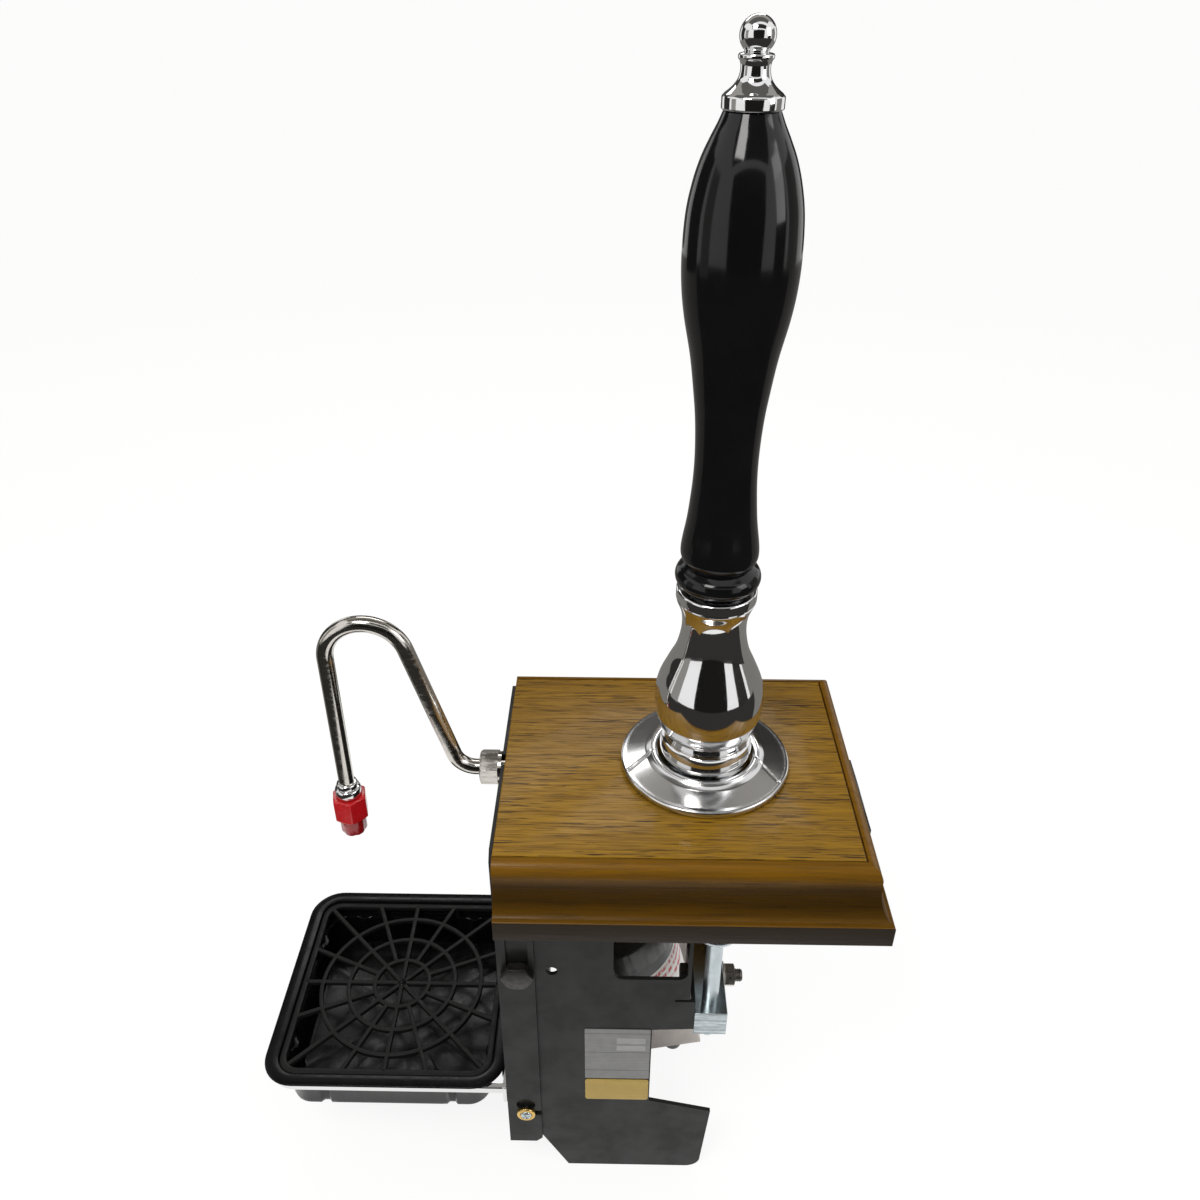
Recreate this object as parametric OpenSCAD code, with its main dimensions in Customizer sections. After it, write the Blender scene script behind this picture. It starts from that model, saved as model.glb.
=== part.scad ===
// Clamp-on hand pump beer engine with a swan neck spout and a drip tray.
// Millimetres. +Z is up and +X points across the bar, away from the server.
// The origin lies on the face that sits on the bar, on the part's centre plane.

/* [Casing] */
// Handle's axis, measured from the origin on the bar seat
handle_x = -50; // [-56:0.5:-44]
// Distance from the crank pin to the board's server-side end
front_room = 35.5; // [34:0.5:48]
// How far the board stands out over the frame on each side
board_over = 1; // [0.5:0.5:10]
// Thickness of the top board
board_t = 20; // [18:0.5:22]
// Height of the wooden casing above the bar
case_h = 48; // [46:0.5:54]
// Distance from the handle's axis to the board's bar-side end
handle_back = 81.5; // [76:0.5:90]
// Radius of the hole in the board below the handle
board_hole_r = 27; // [26.5:0.1:28.5]
// How far the moulding stands out from the board
mould_out = 17; // [14:0.5:22]
// Height of the moulding's upright foot
mould_foot = 14; // [10:0.5:17]
// Thickness of the panel that sits on the bar
seat_t = 5; // [4:0.25:6]
// Length of the panel that sits on the bar
seat_len = 53; // [46:1:56]
// Width of the clip bracket on the bar side
clip_w = 46; // [36:1:70]

/* [Frame] */
// Width of the frame over the front cover's side flanges
frame_w = 156; // [150:1:176]
// Sheet thickness of the front cover
front_t = 2; // [1.5:0.1:2.5]
// Sheet thickness of the side plates
plate_t = 2.5; // [2:0.1:3]
// Width of the front cover's side flanges
flange_w = 22; // [20:0.5:25]
// Lowest point of the front cover, below the bar seat
cover_drop = 227; // [215:1:235]
// Lowest point of the side plates' feet, below the bar seat
foot_drop = 258; // [245:1:266]
// Width of the side plates' narrow middle part
waist_w = 90.8; // [88:0.2:94]
// Diameter of the stays between the side plates
stay_d = 10; // [8:0.5:12]

/* [Handle] */
// Height of the handle's pivot above the top board
pivot_up = 13; // [11:0.5:14]
// Swing of the handle towards the server, in degrees
pull_deg = 30; // [26:1:30]
// Diameter of the pivot pin
pivot_d = 10; // [8:0.5:11]
// Length of the black grip
grip_len = 215; // [190:1:240]
// Largest diameter of the grip
grip_d = 53.6; // [46:0.2:60]
// Height of the black bead below the grip
collar_h = 16; // [12:0.5:20]
// Diameter of the black bead
collar_d = 46; // [44:0.5:50]
// Height of the chrome ferrule above the pivot
ferrule_h = 110; // [100:1:120]
// Largest diameter of the chrome ferrule
ferrule_d = 62; // [58:0.5:64]
// Radius of the ball at the ferrule's foot
ball_r = 27; // [26.5:0.1:27.4]
// Height of the finial
finial_h = 35; // [32:0.5:46]
// Diameter of the finial's ball
finial_ball_d = 15; // [12:0.5:18]
// Diameter of the rosette on the board
rosette_d = 100; // [92:1:110]
// Height of the rosette
rosette_h = 10; // [8:0.5:10.5]
// Diameter of the stud that runs up through the handle
stud_d = 10; // [8:0.5:11]

/* [Lever and pump] */
// Drop of the lever's arm below the pivot
lever_drop = 47; // [45:0.5:48]
// Length of the lever's arm, from the pivot to the crank pin
arm_len = 84; // [80:0.5:86]
// Thickness of the lever
lever_t = 12; // [10:0.5:13]
// Distance between the pins of the connecting link
link_len = 50; // [48:0.5:54]
// Thickness of each link plate
link_t = 3; // [2.5:0.25:4]
// Diameter of the crank pin and of the wrist pin
crank_d = 8; // [6:0.5:8.5]
// Lean of the pump cylinder from upright, in degrees
cyl_lean = 15; // [13:0.5:17]
// Outer diameter of the cylinder
cyl_d = 72; // [68:0.5:73]
// Bore of the cylinder
cyl_bore = 67; // [62:0.5:67.5]
// Length of the cylinder between cap and foot
cyl_len = 64; // [63:1:74]
// Height of the cylinder's cap
cap_h = 20; // [16:1:24]
// Length of the cylinder's square foot
foot_side = 76; // [75:1:80]
// Thickness of the cylinder's square foot
foot_t = 20; // [18:1:24]
// Diameter of the piston rod
rod_d = 10; // [8:0.5:12]
// Thickness of the piston
piston_t = 14; // [12:0.5:16]
// Height of the white band round the cylinder
band_h = 40; // [24:1:46]

/* [Clamp] */
// Side of the square clamp bar
bar_side = 20; // [18:0.5:22]
// How far the clamp bar's ends stand in from the frame's sides
bar_inset = 1; // [0:0.5:3]
// Top of the clamp bar, below the bar seat
bar_drop = 87.5; // [82:0.5:95]
// Diameter of the clamp screws
clamp_screw_d = 10; // [8:0.5:12]
// Length of the clamp screws
clamp_screw_len = 99; // [90:1:110]
// Distance from the bar's end to its clamp screw
screw_inset = 11; // [11:0.5:14]
// Diameter of the clamp pads
pad_d = 30; // [24:0.5:30]
// Thickness of the clamp pads
pad_t = 5; // [4:0.5:7]
// Gap between the pads and the bar seat at rest
clamp_gap = 19; // [16:0.5:30]

/* [Spout] */
// Diameter of the swan neck tube
neck_d = 9.5; // [8:0.1:10]
// Wall of the swan neck tube
neck_wall = 0.9; // [0.6:0.1:1.4]
// Distance of the swan neck's upright leg from the front cover
neck_reach = 96.5; // [85:0.5:110]
// Rise of the swan neck's top above its nut
neck_rise = 108; // [95:1:130]
// Radius of the swan neck's top bend
neck_top_r = 23.5; // [20:0.5:27]
// Radius of the swan neck's lower bend
neck_low_r = 14; // [12:0.5:16]
// Lean of the swan neck's long limb, in degrees
neck_lean = 16; // [13:0.5:18]
// Height of the spout nut above the bar seat
spout_z = 40.5; // [38.5:0.5:40.5]
// Height of the swan neck's mouth above the bar seat
mouth_z = 2; // [-2:0.5:6]
// Size across the flats of the spout nut
nut_af = 19; // [17:0.5:22]
// Size across the flats of the sparkler
sparkler_af = 19.5; // [17:0.5:22]
// Height of the sparkler's upper part
sparkler_h = 15; // [12:0.5:18]

/* [Drip tray] */
// How far the tray's rim stands out over the frame on each side
tray_over = 2.5; // [-2:0.5:5]
// Height of the tray's rim, below the bar seat
tray_drop = 163; // [158:1:175]
// Depth of the tray
tray_h = 41; // [34:1:50]
// Wall thickness of the tray
tray_wall = 2; // [1.5:0.1:3]
// Width of the tray's rim
rim_w = 7; // [6:0.5:9]
// Height of the tray's support rail
rail_h = 6; // [5:0.5:8]
// Thickness of the tray's support rail
rail_t = 4; // [3:0.5:5]
// Radius of the grid's outer ring
grid_r = 56.5; // [50:0.5:60]
// Number of spokes in the grid
spokes = 16; // [12:2:20]

/* [Clearances] */
// Clearance between pieces that are assembled
fit = 0.2; // [0.15:0.05:0.3]
// Radial clearance of a running fit
run_fit = 0.05; // [0.03:0.01:0.08]
// Gap between pieces that pass each other
pass_gap = 0.3; // [0.25:0.05:0.4]
// Radial slack of the link on the wrist pin
wrist_slack = 2.5; // [2.4:0.1:3]

/* [Hidden] */
$fn = 48;
eps = 0.01;

// Casing
board_len = handle_back + arm_len + front_room;
board_w = frame_w + 2 * board_over;
board_right = handle_x + handle_back;
board_left = board_right - board_len;
board_under = case_h - board_t;
case_in_y = board_w / 2;
case_out_y = case_in_y + mould_out;
bead_r = 8;

// Frame
front_in = board_left - fit;
front_out = front_in - front_t;
side_out = frame_w / 2 - front_t;
side_in = side_out - plate_t;
frame_top = board_under - 2;
waist_x = front_in + fit + waist_w;
tab_x = handle_x - 4.5;
wing_x = tab_x - plate_t / 2 - 1;
wing_z = -105.5;
tab_top = -76;
tab_low = wing_z + 1.5;
tab_in_y = 30;
cover_top = case_h - 1.5;
bolt_x = front_out + 12;
bolt_z = -49.5;
bolt_af = 17;
bolt_r = 5;
key_w = 13;
key_top = -14;
screw_z = -193.6;
screw_r = 2.5;
washer_r = 6.2;

// Pivot and lever
pivot_z = case_h + pivot_up;
arm_z = pivot_z - lever_drop;
ear_gap = lever_t / 2 + 2 + pass_gap;
ear_t = 4;
ear_r = 9;
boss_r = 10;
bush_wall = 2;
boss_half = lever_t / 2 + 2;
bracket_t = 3.5;
cavity_r = 21;
throat_r = 7.6;
neck_top = 24;
stud_r = stud_d / 2;

// Crank and cylinder line, in the XZ plane. down_v runs down the cylinder, side_v across it.
down_v = [sin(cyl_lean), -cos(cyl_lean)];
side_v = [cos(cyl_lean), sin(cyl_lean)];
function turned(p, a) = [p[0] * cos(a) - p[1] * sin(a), p[0] * sin(a) + p[1] * cos(a)];
pivot_p = [handle_x, pivot_z];
crank_p = [handle_x - arm_len, arm_z];
crank_end = pivot_p + turned(crank_p - pivot_p, pull_deg);
axis_off = 2;
axis_c = crank_p * side_v + axis_off;
play_s = 1.5;
play_a = 1.8;
rest_s = crank_p * down_v + sqrt(link_len * link_len - axis_off * axis_off) + play_s;
end_off = crank_end * side_v - axis_c;
end_s = crank_end * down_v + sqrt(link_len * link_len - end_off * end_off);
stroke = end_s - rest_s;
eye_r = 8;
gland_h = 5;
gland_s = end_s + eye_r + 4.5;
cap_s = gland_s + gland_h;
tube_s = cap_s + cap_h - 6;
foot_s = tube_s + cyl_len;
base_s = foot_s + foot_t;
piston_s = tube_s + 9;
link_out = boss_half + pass_gap + link_t;
spacer_off = -24;

// Clamp
bar_x0 = tab_x + plate_t / 2;
bar_x = bar_x0 + bar_side / 2;
bar_mid_z = -bar_drop - bar_side / 2;
bar_len = frame_w - 2 * bar_inset;
clamp_y = bar_len / 2 - screw_inset;
clamp_bolt_y = 41;
clamp_bolt_r = 4;
pad_z = -clamp_gap - pad_t;
pad_hole = 3;

// Spout
spout_x = front_out - neck_reach;
neck_r = neck_d / 2;
shank_r = 4.5;
stub_r = 6.5;
nut_len = 11;
collar_t = 2;
elbow_x = board_left + 16;
top_c = [spout_x + neck_top_r, spout_z + neck_rise - neck_r - neck_top_r];
limb_top = top_c + neck_top_r * [cos(neck_lean), sin(neck_lean)];
limb_low_z = spout_z + neck_low_r * (1 - sin(neck_lean));
limb_low_x = limb_top[0] + (limb_top[1] - limb_low_z) * tan(neck_lean);
low_c = [limb_low_x + neck_low_r * cos(neck_lean), spout_z + neck_low_r];
ferrule_z = mouth_z + sparkler_h;

// Drip tray
tray_gap = 1.5;
tray_side = frame_w + 2 * tray_over;
tray_x = front_out - tray_gap - tray_side / 2;
rim_t = 2;
tray_corner = 22;
well_side = tray_side - 2 * rim_w;
tub_step = 14;
tub_inset = 5;
grid_side = well_side - 2 * tray_wall - 1;
grid_t = 3;
rail_y = tray_side / 2 - 1.5 - rail_t;

// ---------- helpers ----------

// Catmull-Rom curve through points, n steps for each span
function cr(a, b, c, d, t) =
    0.5 * (2 * b + (c - a) * t + (2 * a - 5 * b + 4 * c - d) * t * t + (3 * b - a - 3 * c + d) * t * t * t);
function smooth(p, n) = [
    for (i = [0 : len(p) - 2], k = [0 : n - 1])
        cr(p[max(i - 1, 0)], p[i], p[i + 1], p[min(i + 2, len(p) - 1)], k / n),
    p[len(p) - 1]
];

// Points of an arc about c
function arc(c, r, a0, a1, n) = [for (i = [0 : n]) c + r * [cos(a0 + (a1 - a0) * i / n), sin(a0 + (a1 - a0) * i / n)]];

module square_round(side, r, h) {
    linear_extrude(h) {
        square([side - 2 * r, side], center = true);
        square([side, side - 2 * r], center = true);
        for (x = [-1, 1], y = [-1, 1]) translate([x, y] * (side / 2 - r)) circle(r);
    }
}

// A bar of the XZ outline, centred on the middle plane or from y0 to y1
module slab(points, y0, y1) {
    translate([0, y1, 0]) rotate([90, 0, 0]) linear_extrude(y1 - y0) polygon(points);
}

module rod_x(r, x0, x1, y, z) {
    translate([x0, y, z]) rotate([0, 90, 0]) cylinder(r = r, h = x1 - x0);
}

module rod_y(r, y0, y1, x, z) {
    translate([x, y1, z]) rotate([90, 0, 0]) cylinder(r = r, h = y1 - y0);
}

module hex(af, h) {
    cylinder(d = af / cos(30), h = h, $fn = 6);
}

// Frame of the pump cylinder: local Z runs up its axis, and a place s down the axis is z = -s
module on_cylinder() {
    translate([axis_c * side_v[0], 0, axis_c * side_v[1]]) rotate([0, -cyl_lean, 0]) children();
}

module both_sides() {
    children();
    mirror([0, 1, 0]) children();
}

// ---------- wooden casing ----------

module top_board() {
    color([0.62, 0.45, 0.16]) difference() {
        translate([board_left, -case_in_y, board_under]) cube([board_len, board_w, board_t]);
        translate([handle_x, 0, board_under - 1]) cylinder(r = board_hole_r, h = board_t + 2);
        rod_x(shank_r + 0.5, board_left - 1, elbow_x + shank_r + 1, 0, spout_z);
        translate([board_left - 1, -shank_r - 0.5, board_under - 1])
            cube([elbow_x - board_left + shank_r + 2, 2 * shank_r + 1, spout_z - board_under + 1]);
        both_sides() for (x = frame_screw_x)
            translate([x, side_in - 8, board_under - 1]) cylinder(r = 1.6, h = 11);
        for (x = bracket_screw_x, y = [-1, 1])
            translate([x, y * bracket_screw_y, board_under - 1]) cylinder(r = 1.6, h = 11);
    }
}

cove_r = 14;
// The moulding's outline: how far out from the board, and the height
mould_points = concat(
    [[0, 0], [mould_out, 0], [mould_out, mould_foot]],
    [for (i = [0 : 8])
        [mould_out - 1 - (mould_out - 1 - bead_r) * sin(i * 90 / 8),
         mould_foot + 2 + (case_h - mould_foot - 14) * (1 - cos(i * 90 / 8))]],
    arc([0, case_h - bead_r], bead_r, 0, 90, 8)
);

module moulding_along_x(x0, x1) {
    translate([x1, case_in_y, 0]) rotate([90, 0, -90]) linear_extrude(x1 - x0)
        polygon([for (p = mould_points) [-p[0], p[1]]]);
}

// The corner outside the board's diagonal belongs to the bar-side moulding
module mitre_corner(side) {
    translate([board_right, side * case_in_y, -1]) linear_extrude(case_h + 2)
        polygon([[0, 0], [mould_out + 9, 0], [mould_out + 9, side * (mould_out + 9)]]);
}

module far_moulding() {
    color([0.45, 0.31, 0.10]) difference() {
        moulding_along_x(board_left, board_right + mould_out);
        mitre_corner(1);
    }
}

module near_moulding() {
    mirror([0, 1, 0]) far_moulding();
}

module bar_side_moulding() {
    color([0.45, 0.31, 0.10]) difference() {
        translate([board_right, case_out_y, 0]) rotate([90, 0, 0]) linear_extrude(2 * case_out_y)
            polygon(mould_points);
        for (side = [-1, 1]) translate([board_right, side * case_in_y, -1]) linear_extrude(case_h + 2)
            polygon([[0, 0], [mould_out + 9, side * (mould_out + 9)], [0, side * (mould_out + 9)]]);
        for (y = [-1, 1]) rod_x(1.6, board_right + mould_out - 8, board_right + mould_out + 1,
            y * clip_w / 4, mould_foot / 2);
    }
}

module seat_panel() {
    color([0.33, 0.23, 0.10])
        translate([board_right - seat_len, -case_in_y, 0]) cube([seat_len, board_w, seat_t]);
}

clip_t = 2;
module clip_bracket() {
    x0 = board_right + mould_out;
    color([0.06, 0.06, 0.06]) difference() {
        slab([[x0, 1], [x0 + clip_t, 1], [x0 + clip_t, mould_foot + 1], [x0 - 3, 30.5], [x0 - 4.5, 30],
              [x0, mould_foot + 1.5]], -clip_w / 2, clip_w / 2);
        for (y = [-1, 1]) rod_x(1.7, x0 - 1, x0 + clip_t + 1, y * clip_w / 4, mould_foot / 2);
    }
    for (y = [-1, 1]) color([0.2, 0.2, 0.2]) rod_x(1.6, x0 - 7, x0 + clip_t + 1, y * clip_w / 4, mould_foot / 2);
}

// ---------- frame ----------

frame_screw_x = [board_left + 12, handle_x - 14];
bracket_front = 42;
bracket_back = 34;
bracket_half = board_hole_r + 1;
bracket_screw_x = [handle_x - bracket_front + 6, handle_x + bracket_back - 6];
bracket_screw_y = bracket_half - 6;
foot_front_x = front_in + fit + 20;
window = [[waist_x - 24.5, -57.5], [tab_x - 4.5, -57.5], [tab_x - 4.5, -12], [waist_x - 24.5, -12]];

function side_outline() = concat(
    [[front_in, frame_top], [wing_x, frame_top], [wing_x, tab_top + 0.1], [wing_x - 9, tab_top + 0.1],
     [wing_x - 9, tab_top - 2], [tab_x + plate_t / 2, tab_top - 2], [tab_x + plate_t / 2, tab_low],
     [waist_x, wing_z], [waist_x, -180.8], [waist_x + 41, -192], [waist_x + 37, -(foot_drop - 11)]],
    arc([waist_x + 27, -(foot_drop - 10)], 10, -5, -90, 6),
    [[foot_front_x + 17, -foot_drop], [foot_front_x, -(cover_drop - 4)], [front_in, -(cover_drop - 4)]]
);

// A side plate with its window, its top flange and the tab that carries the clamp bar
module side_plate() {
    r = 6;
    difference() {
        union() {
            slab(side_outline(), side_in, side_out);
            translate([front_in + 4, side_in - 16, frame_top]) cube([wing_x - front_in - 8, 16 + plate_t, 2]);
            translate([tab_x - plate_t / 2, tab_in_y, tab_low])
                cube([plate_t, side_in - tab_in_y + 1, tab_top - 2 - tab_low]);
        }
        slab([[window[0][0], window[0][1] + r], [window[0][0] + r, window[0][1]],
              [window[1][0] - r, window[1][1]], [window[1][0], window[1][1] + r],
              window[2], window[3]], side_in - 1, side_out + 1);
        for (x = [window[0][0] + r, window[1][0] - r])
            rod_y(r, side_in - 1, side_out + 1, x, window[0][1] + r);
        rod_y(3.5, side_in - 1, side_out + 1, front_out + 32, -51);
        rod_y(bolt_r + 0.02, side_in - 1, side_out + 1, bolt_x, bolt_z);
        rod_y(screw_r + 0.02, side_in - 1, side_out + 1, bolt_x, screw_z);
        rod_x(clamp_bolt_r + fit, tab_x - 3, tab_x + 3, clamp_bolt_y, bar_mid_z + 0);
        for (x = frame_screw_x) translate([x, side_in - 8, frame_top - 1]) cylinder(r = 2.1, h = 5);
    }
}

module far_side_plate() {
    color([0.20, 0.20, 0.19]) side_plate();
}

module near_side_plate() {
    color([0.20, 0.20, 0.19]) mirror([0, 1, 0]) side_plate();
}

module front_cover() {
    color([0.19, 0.19, 0.18]) difference() {
        union() {
            translate([front_in, 0, 0]) rotate([90, 0, -90]) linear_extrude(front_t)
                polygon([[-frame_w / 2, -cover_drop], [frame_w / 2, -cover_drop],
                         [frame_w / 2, cover_top - 5], [frame_w / 2 - 5, cover_top],
                         [5 - frame_w / 2, cover_top], [-frame_w / 2, cover_top - 5]]);
            both_sides() slab([[front_out, -cover_drop], [front_out + flange_w - 4, -cover_drop],
                [front_out + flange_w, 4 - cover_drop], [front_out + flange_w, frame_top],
                [front_out, frame_top]], side_out + eps, frame_w / 2);
        }
        rod_x(shank_r + fit, front_out - 1, front_in + 1, 0, spout_z);
        translate([front_out - 1, -shank_r - fit, spout_z]) cube([front_t + 2, 2 * (shank_r + fit), 20]);
        both_sides() {
            rod_y(key_w / 2, side_out - 1, frame_w / 2 + 1, bolt_x, bolt_z);
            translate([bolt_x - key_w / 2, side_out - 1, bolt_z]) cube([key_w, front_t + 2, key_top - bolt_z]);
            rod_y(washer_r, side_out - 1, frame_w / 2 + 1, bolt_x, screw_z + 9);
            rod_y(screw_r + 0.3, side_out - 1, frame_w / 2 + 1, bolt_x, screw_z);
            translate([bolt_x - screw_r, side_out - 1, screw_z]) cube([2 * screw_r, front_t + 2, 6]);
            translate([bolt_x, side_out - 1, screw_z - screw_r]) cube([flange_w, front_t + 2, 2 * screw_r]);
        }
        for (y = [-1, 1]) rod_x(2.05, front_out - 1, front_in + 1, y * lug_y, lug_z);
    }
}

stay_p = [[waist_x - 14, -213], [waist_x - 3.5, -246]];
module stay_rods() {
    color([0.25, 0.25, 0.24]) for (p = stay_p) rod_y(stay_d / 2, -side_in, side_in, p[0], p[1]);
}

// Wood screws that hold the frame and the pivot bracket up to the board
module frame_screws() {
    color([0.6, 0.6, 0.58]) {
        both_sides() for (x = frame_screw_x) translate([x, side_in - 8, 0]) {
            translate([0, 0, frame_top]) cylinder(r = 2, h = 2);
            translate([0, 0, frame_top + 2]) cylinder(r = 1.6, h = 8);
            translate([0, 0, frame_top - 2.2]) cylinder(r = 3.6, h = 2.2);
        }
        for (x = bracket_screw_x, y = [-1, 1]) translate([x, y * bracket_screw_y, 0]) {
            translate([0, 0, board_under - bracket_t]) cylinder(r = 1.6, h = bracket_t + 9);
            translate([0, 0, board_under - bracket_t - 2.2]) cylinder(r = 3.6, h = 2.2);
        }
    }
}

label_w = 41;
silver_h = 51;
gold_h = 22;
label_gap = 1.2;
label_top = -105;
module label(top, h) {
    translate([waist_x - 0.8 - label_w, -side_out - 0.5, top - h]) cube([label_w, 0.5, h]);
}

module silver_plate() {
    color([0.62, 0.62, 0.6]) label(label_top, silver_h);
}

module gold_plate() {
    color([0.78, 0.66, 0.38]) label(label_top - silver_h - label_gap, gold_h);
}

module cover_bolts() {
    color([0.16, 0.16, 0.15]) both_sides() {
        rod_y(bolt_r, side_in - 4, frame_w / 2, bolt_x, bolt_z);
        translate([bolt_x, frame_w / 2, bolt_z]) rotate([-90, 30, 0]) hex(bolt_af, 6);
    }
}

module cup_washers() {
    color([0.8, 0.66, 0.36]) both_sides() translate([bolt_x, frame_w / 2, screw_z]) rotate([-90, 0, 0])
        rotate_extrude() polygon([[screw_r + 0.1, 0], [washer_r, 0], [washer_r, 0.8], [washer_r - 1, 2.2],
                                  [washer_r - 2, 2.2], [screw_r + 1.3, 1], [screw_r + 0.1, 1]]);
}

module cover_screws() {
    color([0.85, 0.85, 0.83]) both_sides() difference() {
        union() {
            rod_y(screw_r, side_in - 4, frame_w / 2 + 1, bolt_x, screw_z);
            translate([bolt_x, frame_w / 2 + 1, screw_z]) rotate([-90, 0, 0])
                rotate_extrude() polygon(concat([[0, 0], [3.6, 0], [3.6, 0.7]], arc([0, -1.6], 4.27, 33, 90, 5)));
        }
        for (a = [0, 90]) translate([bolt_x, frame_w / 2 + 2.9, screw_z]) rotate([0, a + 20, 0])
            cube([3.6, 2.2, 0.8], center = true);
    }
}

// ---------- pivot ----------

module pivot_bracket() {
    slot_x0 = handle_x - ear_r - 3;
    slot_x1 = handle_x + 31;
    color([0.35, 0.35, 0.34]) difference() {
        union() {
            translate([handle_x - bracket_front, -bracket_half, board_under - bracket_t])
                cube([bracket_front + bracket_back, 2 * bracket_half, bracket_t]);
            both_sides() {
                translate([handle_x - ear_r, ear_gap, board_under - bracket_t])
                    cube([2 * ear_r, ear_t, pivot_z - board_under + bracket_t]);
                rod_y(ear_r, ear_gap, ear_gap + ear_t, handle_x, pivot_z);
            }
        }
        translate([slot_x0, -ear_gap, board_under - bracket_t - 1])
            cube([slot_x1 - slot_x0, 2 * ear_gap, bracket_t + 2]);
        rod_y(pivot_d / 2, -30, 30, handle_x, pivot_z);
        for (x = bracket_screw_x, y = [-1, 1]) translate([x, y * bracket_screw_y, 0])
            translate([0, 0, board_under - bracket_t - 1]) cylinder(r = 1.7, h = bracket_t + 2);
    }
}

module pivot_pin() {
    ring_y = ear_gap + ear_t;
    color([0.75, 0.75, 0.74]) {
        rod_y(pivot_d / 2, -ring_y - 2, ring_y + 2, handle_x, pivot_z);
        both_sides() rod_y(pivot_d / 2 + 1.6, ring_y, ring_y + 1.2, handle_x, pivot_z);
    }
}

groove_out = [[-46.2, -15.5], [40.6, -23]];
groove_in = [[-31, -2], [29.8, -9]];
groove_w = 1.8;
module rosette() {
    r = rosette_d / 2;
    neck = ball_r + 1.5;
    color([0.8, 0.8, 0.82]) translate([handle_x, 0, case_h]) difference() {
        rotate_extrude($fn = 96) polygon(concat(
            [[neck, 0], [r - 1, 0], [r, 1], [r, 3]], arc([r - 1.6, 3], 1.6, 0, 80, 5),
            [[r - 6, 4.9], [neck + 6, 7.4], [neck + 3.2, rosette_h - 1.4]],
            arc([neck + 1.6, rosette_h - 1.5], 1.5, 0, 90, 4), [[neck, rosette_h]]));
        for (k = [0, 1]) {
            d = groove_out[k] - groove_in[k];
            translate([groove_in[k][0], groove_in[k][1], 5.1]) rotate([0, 0, atan2(d[1], d[0])])
                translate([0, -groove_w / 2, 0]) rotate([0, 6.5, 0]) cube([norm(d), groove_w, 6]);
        }
    }
}

// ---------- clamp ----------

module clamp_bar() {
    color([0.66, 0.72, 0.74]) difference() {
        translate([bar_x0, -bar_len / 2, -bar_drop - bar_side]) cube([bar_side, bar_len, bar_side]);
        both_sides() {
            rod_x(clamp_bolt_r + fit, bar_x0 - 1, bar_x0 + bar_side + 1, clamp_bolt_y, bar_mid_z);
            translate([bar_x, clamp_y, -bar_drop - bar_side - 1])
                cylinder(r = clamp_screw_d / 2 + run_fit, h = bar_side + 2);
        }
    }
}

module clamp_bolts() {
    x0 = tab_x - plate_t / 2;
    color([0.3, 0.3, 0.29]) both_sides() {
        rod_x(clamp_bolt_r, x0, bar_x0 + bar_side + 13, clamp_bolt_y, bar_mid_z);
        translate([x0 - 4.5, clamp_bolt_y, bar_mid_z]) rotate([0, 90, 0]) hex(13, 4.5);
    }
}

module clamp_nuts() {
    color([0.55, 0.53, 0.5]) both_sides() difference() {
        translate([bar_x0 + bar_side, clamp_bolt_y, bar_mid_z]) rotate([0, 90, 0]) union() {
            cylinder(r = 8.5, h = 1.5);
            hex(13, 8);
        }
        rod_x(clamp_bolt_r, bar_x0 + bar_side - 1, bar_x0 + bar_side + 12, clamp_bolt_y, bar_mid_z);
    }
}

module clamp_screw() {
    r = clamp_screw_d / 2;
    top = pad_z + pad_hole;
    translate([bar_x, clamp_y, 0]) {
        translate([0, 0, top - clamp_screw_len + 3]) cylinder(r = r, h = clamp_screw_len - 3);
        translate([0, 0, top - clamp_screw_len]) rotate_extrude()
            polygon([[0, 0], [r * 0.55, 0.5], [r * 0.85, 1.5], [r, 3], [0, 3]]);
    }
}

module clamp_pad() {
    translate([bar_x, clamp_y, pad_z]) difference() {
        rotate_extrude($fn = 72) polygon([[0, 0], [pad_d / 2 - 3, 0], [pad_d / 2, 2.2], [pad_d / 2, pad_t],
            [pad_d / 2 - 2, pad_t], [pad_d / 2 - 4.5, pad_t - 1.2], [0, pad_t - 1.2]]);
        translate([0, 0, -1]) cylinder(r = clamp_screw_d / 2, h = pad_hole + 1);
    }
}

module far_clamp_screw() {
    color([0.75, 0.76, 0.75]) clamp_screw();
}

module near_clamp_screw() {
    color([0.75, 0.76, 0.75]) mirror([0, 1, 0]) clamp_screw();
}

module far_clamp_pad() {
    color([0.8, 0.81, 0.8]) clamp_pad();
}

module near_clamp_pad() {
    color([0.8, 0.81, 0.8]) mirror([0, 1, 0]) clamp_pad();
}

// ---------- drip tray ----------

lug_y = 62;
lug_z = -tray_drop - rim_t - rail_h / 2 - 6;
lug_t = 2.5;

module rail_outline(grow) {
    side = tray_side - 3 + 2 * grow;
    square_round(side, tray_corner + grow - 1.5, rail_h);
}

// A bar bent round three sides of the tray, with two lugs screwed to the front cover
module tray_rail() {
    color([0.82, 0.82, 0.8]) {
        difference() {
            translate([tray_x, 0, -tray_drop - rim_t - rail_h]) difference() {
                union() {
                    rail_outline(0);
                    translate([0, -rail_y - rail_t, 0]) cube([tray_side / 2 + tray_gap, 2 * (rail_y + rail_t), rail_h]);
                }
                translate([0, 0, -1]) scale_rail();
            }
            translate([front_out, -100, -tray_drop - 30]) cube([40, 200, 60]);
        }
        both_sides() difference() {
            translate([front_out - lug_t, lug_y - 8, lug_z - 7])
                cube([lug_t, rail_y + rail_t - lug_y + 8, -tray_drop - rim_t - lug_z + 7]);
            rod_x(2.05, front_out - lug_t - 1, front_out + 1, lug_y, lug_z);
            translate([front_out - lug_t - 1, 0, -tray_drop - rim_t - rail_h])
                cube([lug_t + 2, rail_y, rail_h + 1]);
        }
    }
}

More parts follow.
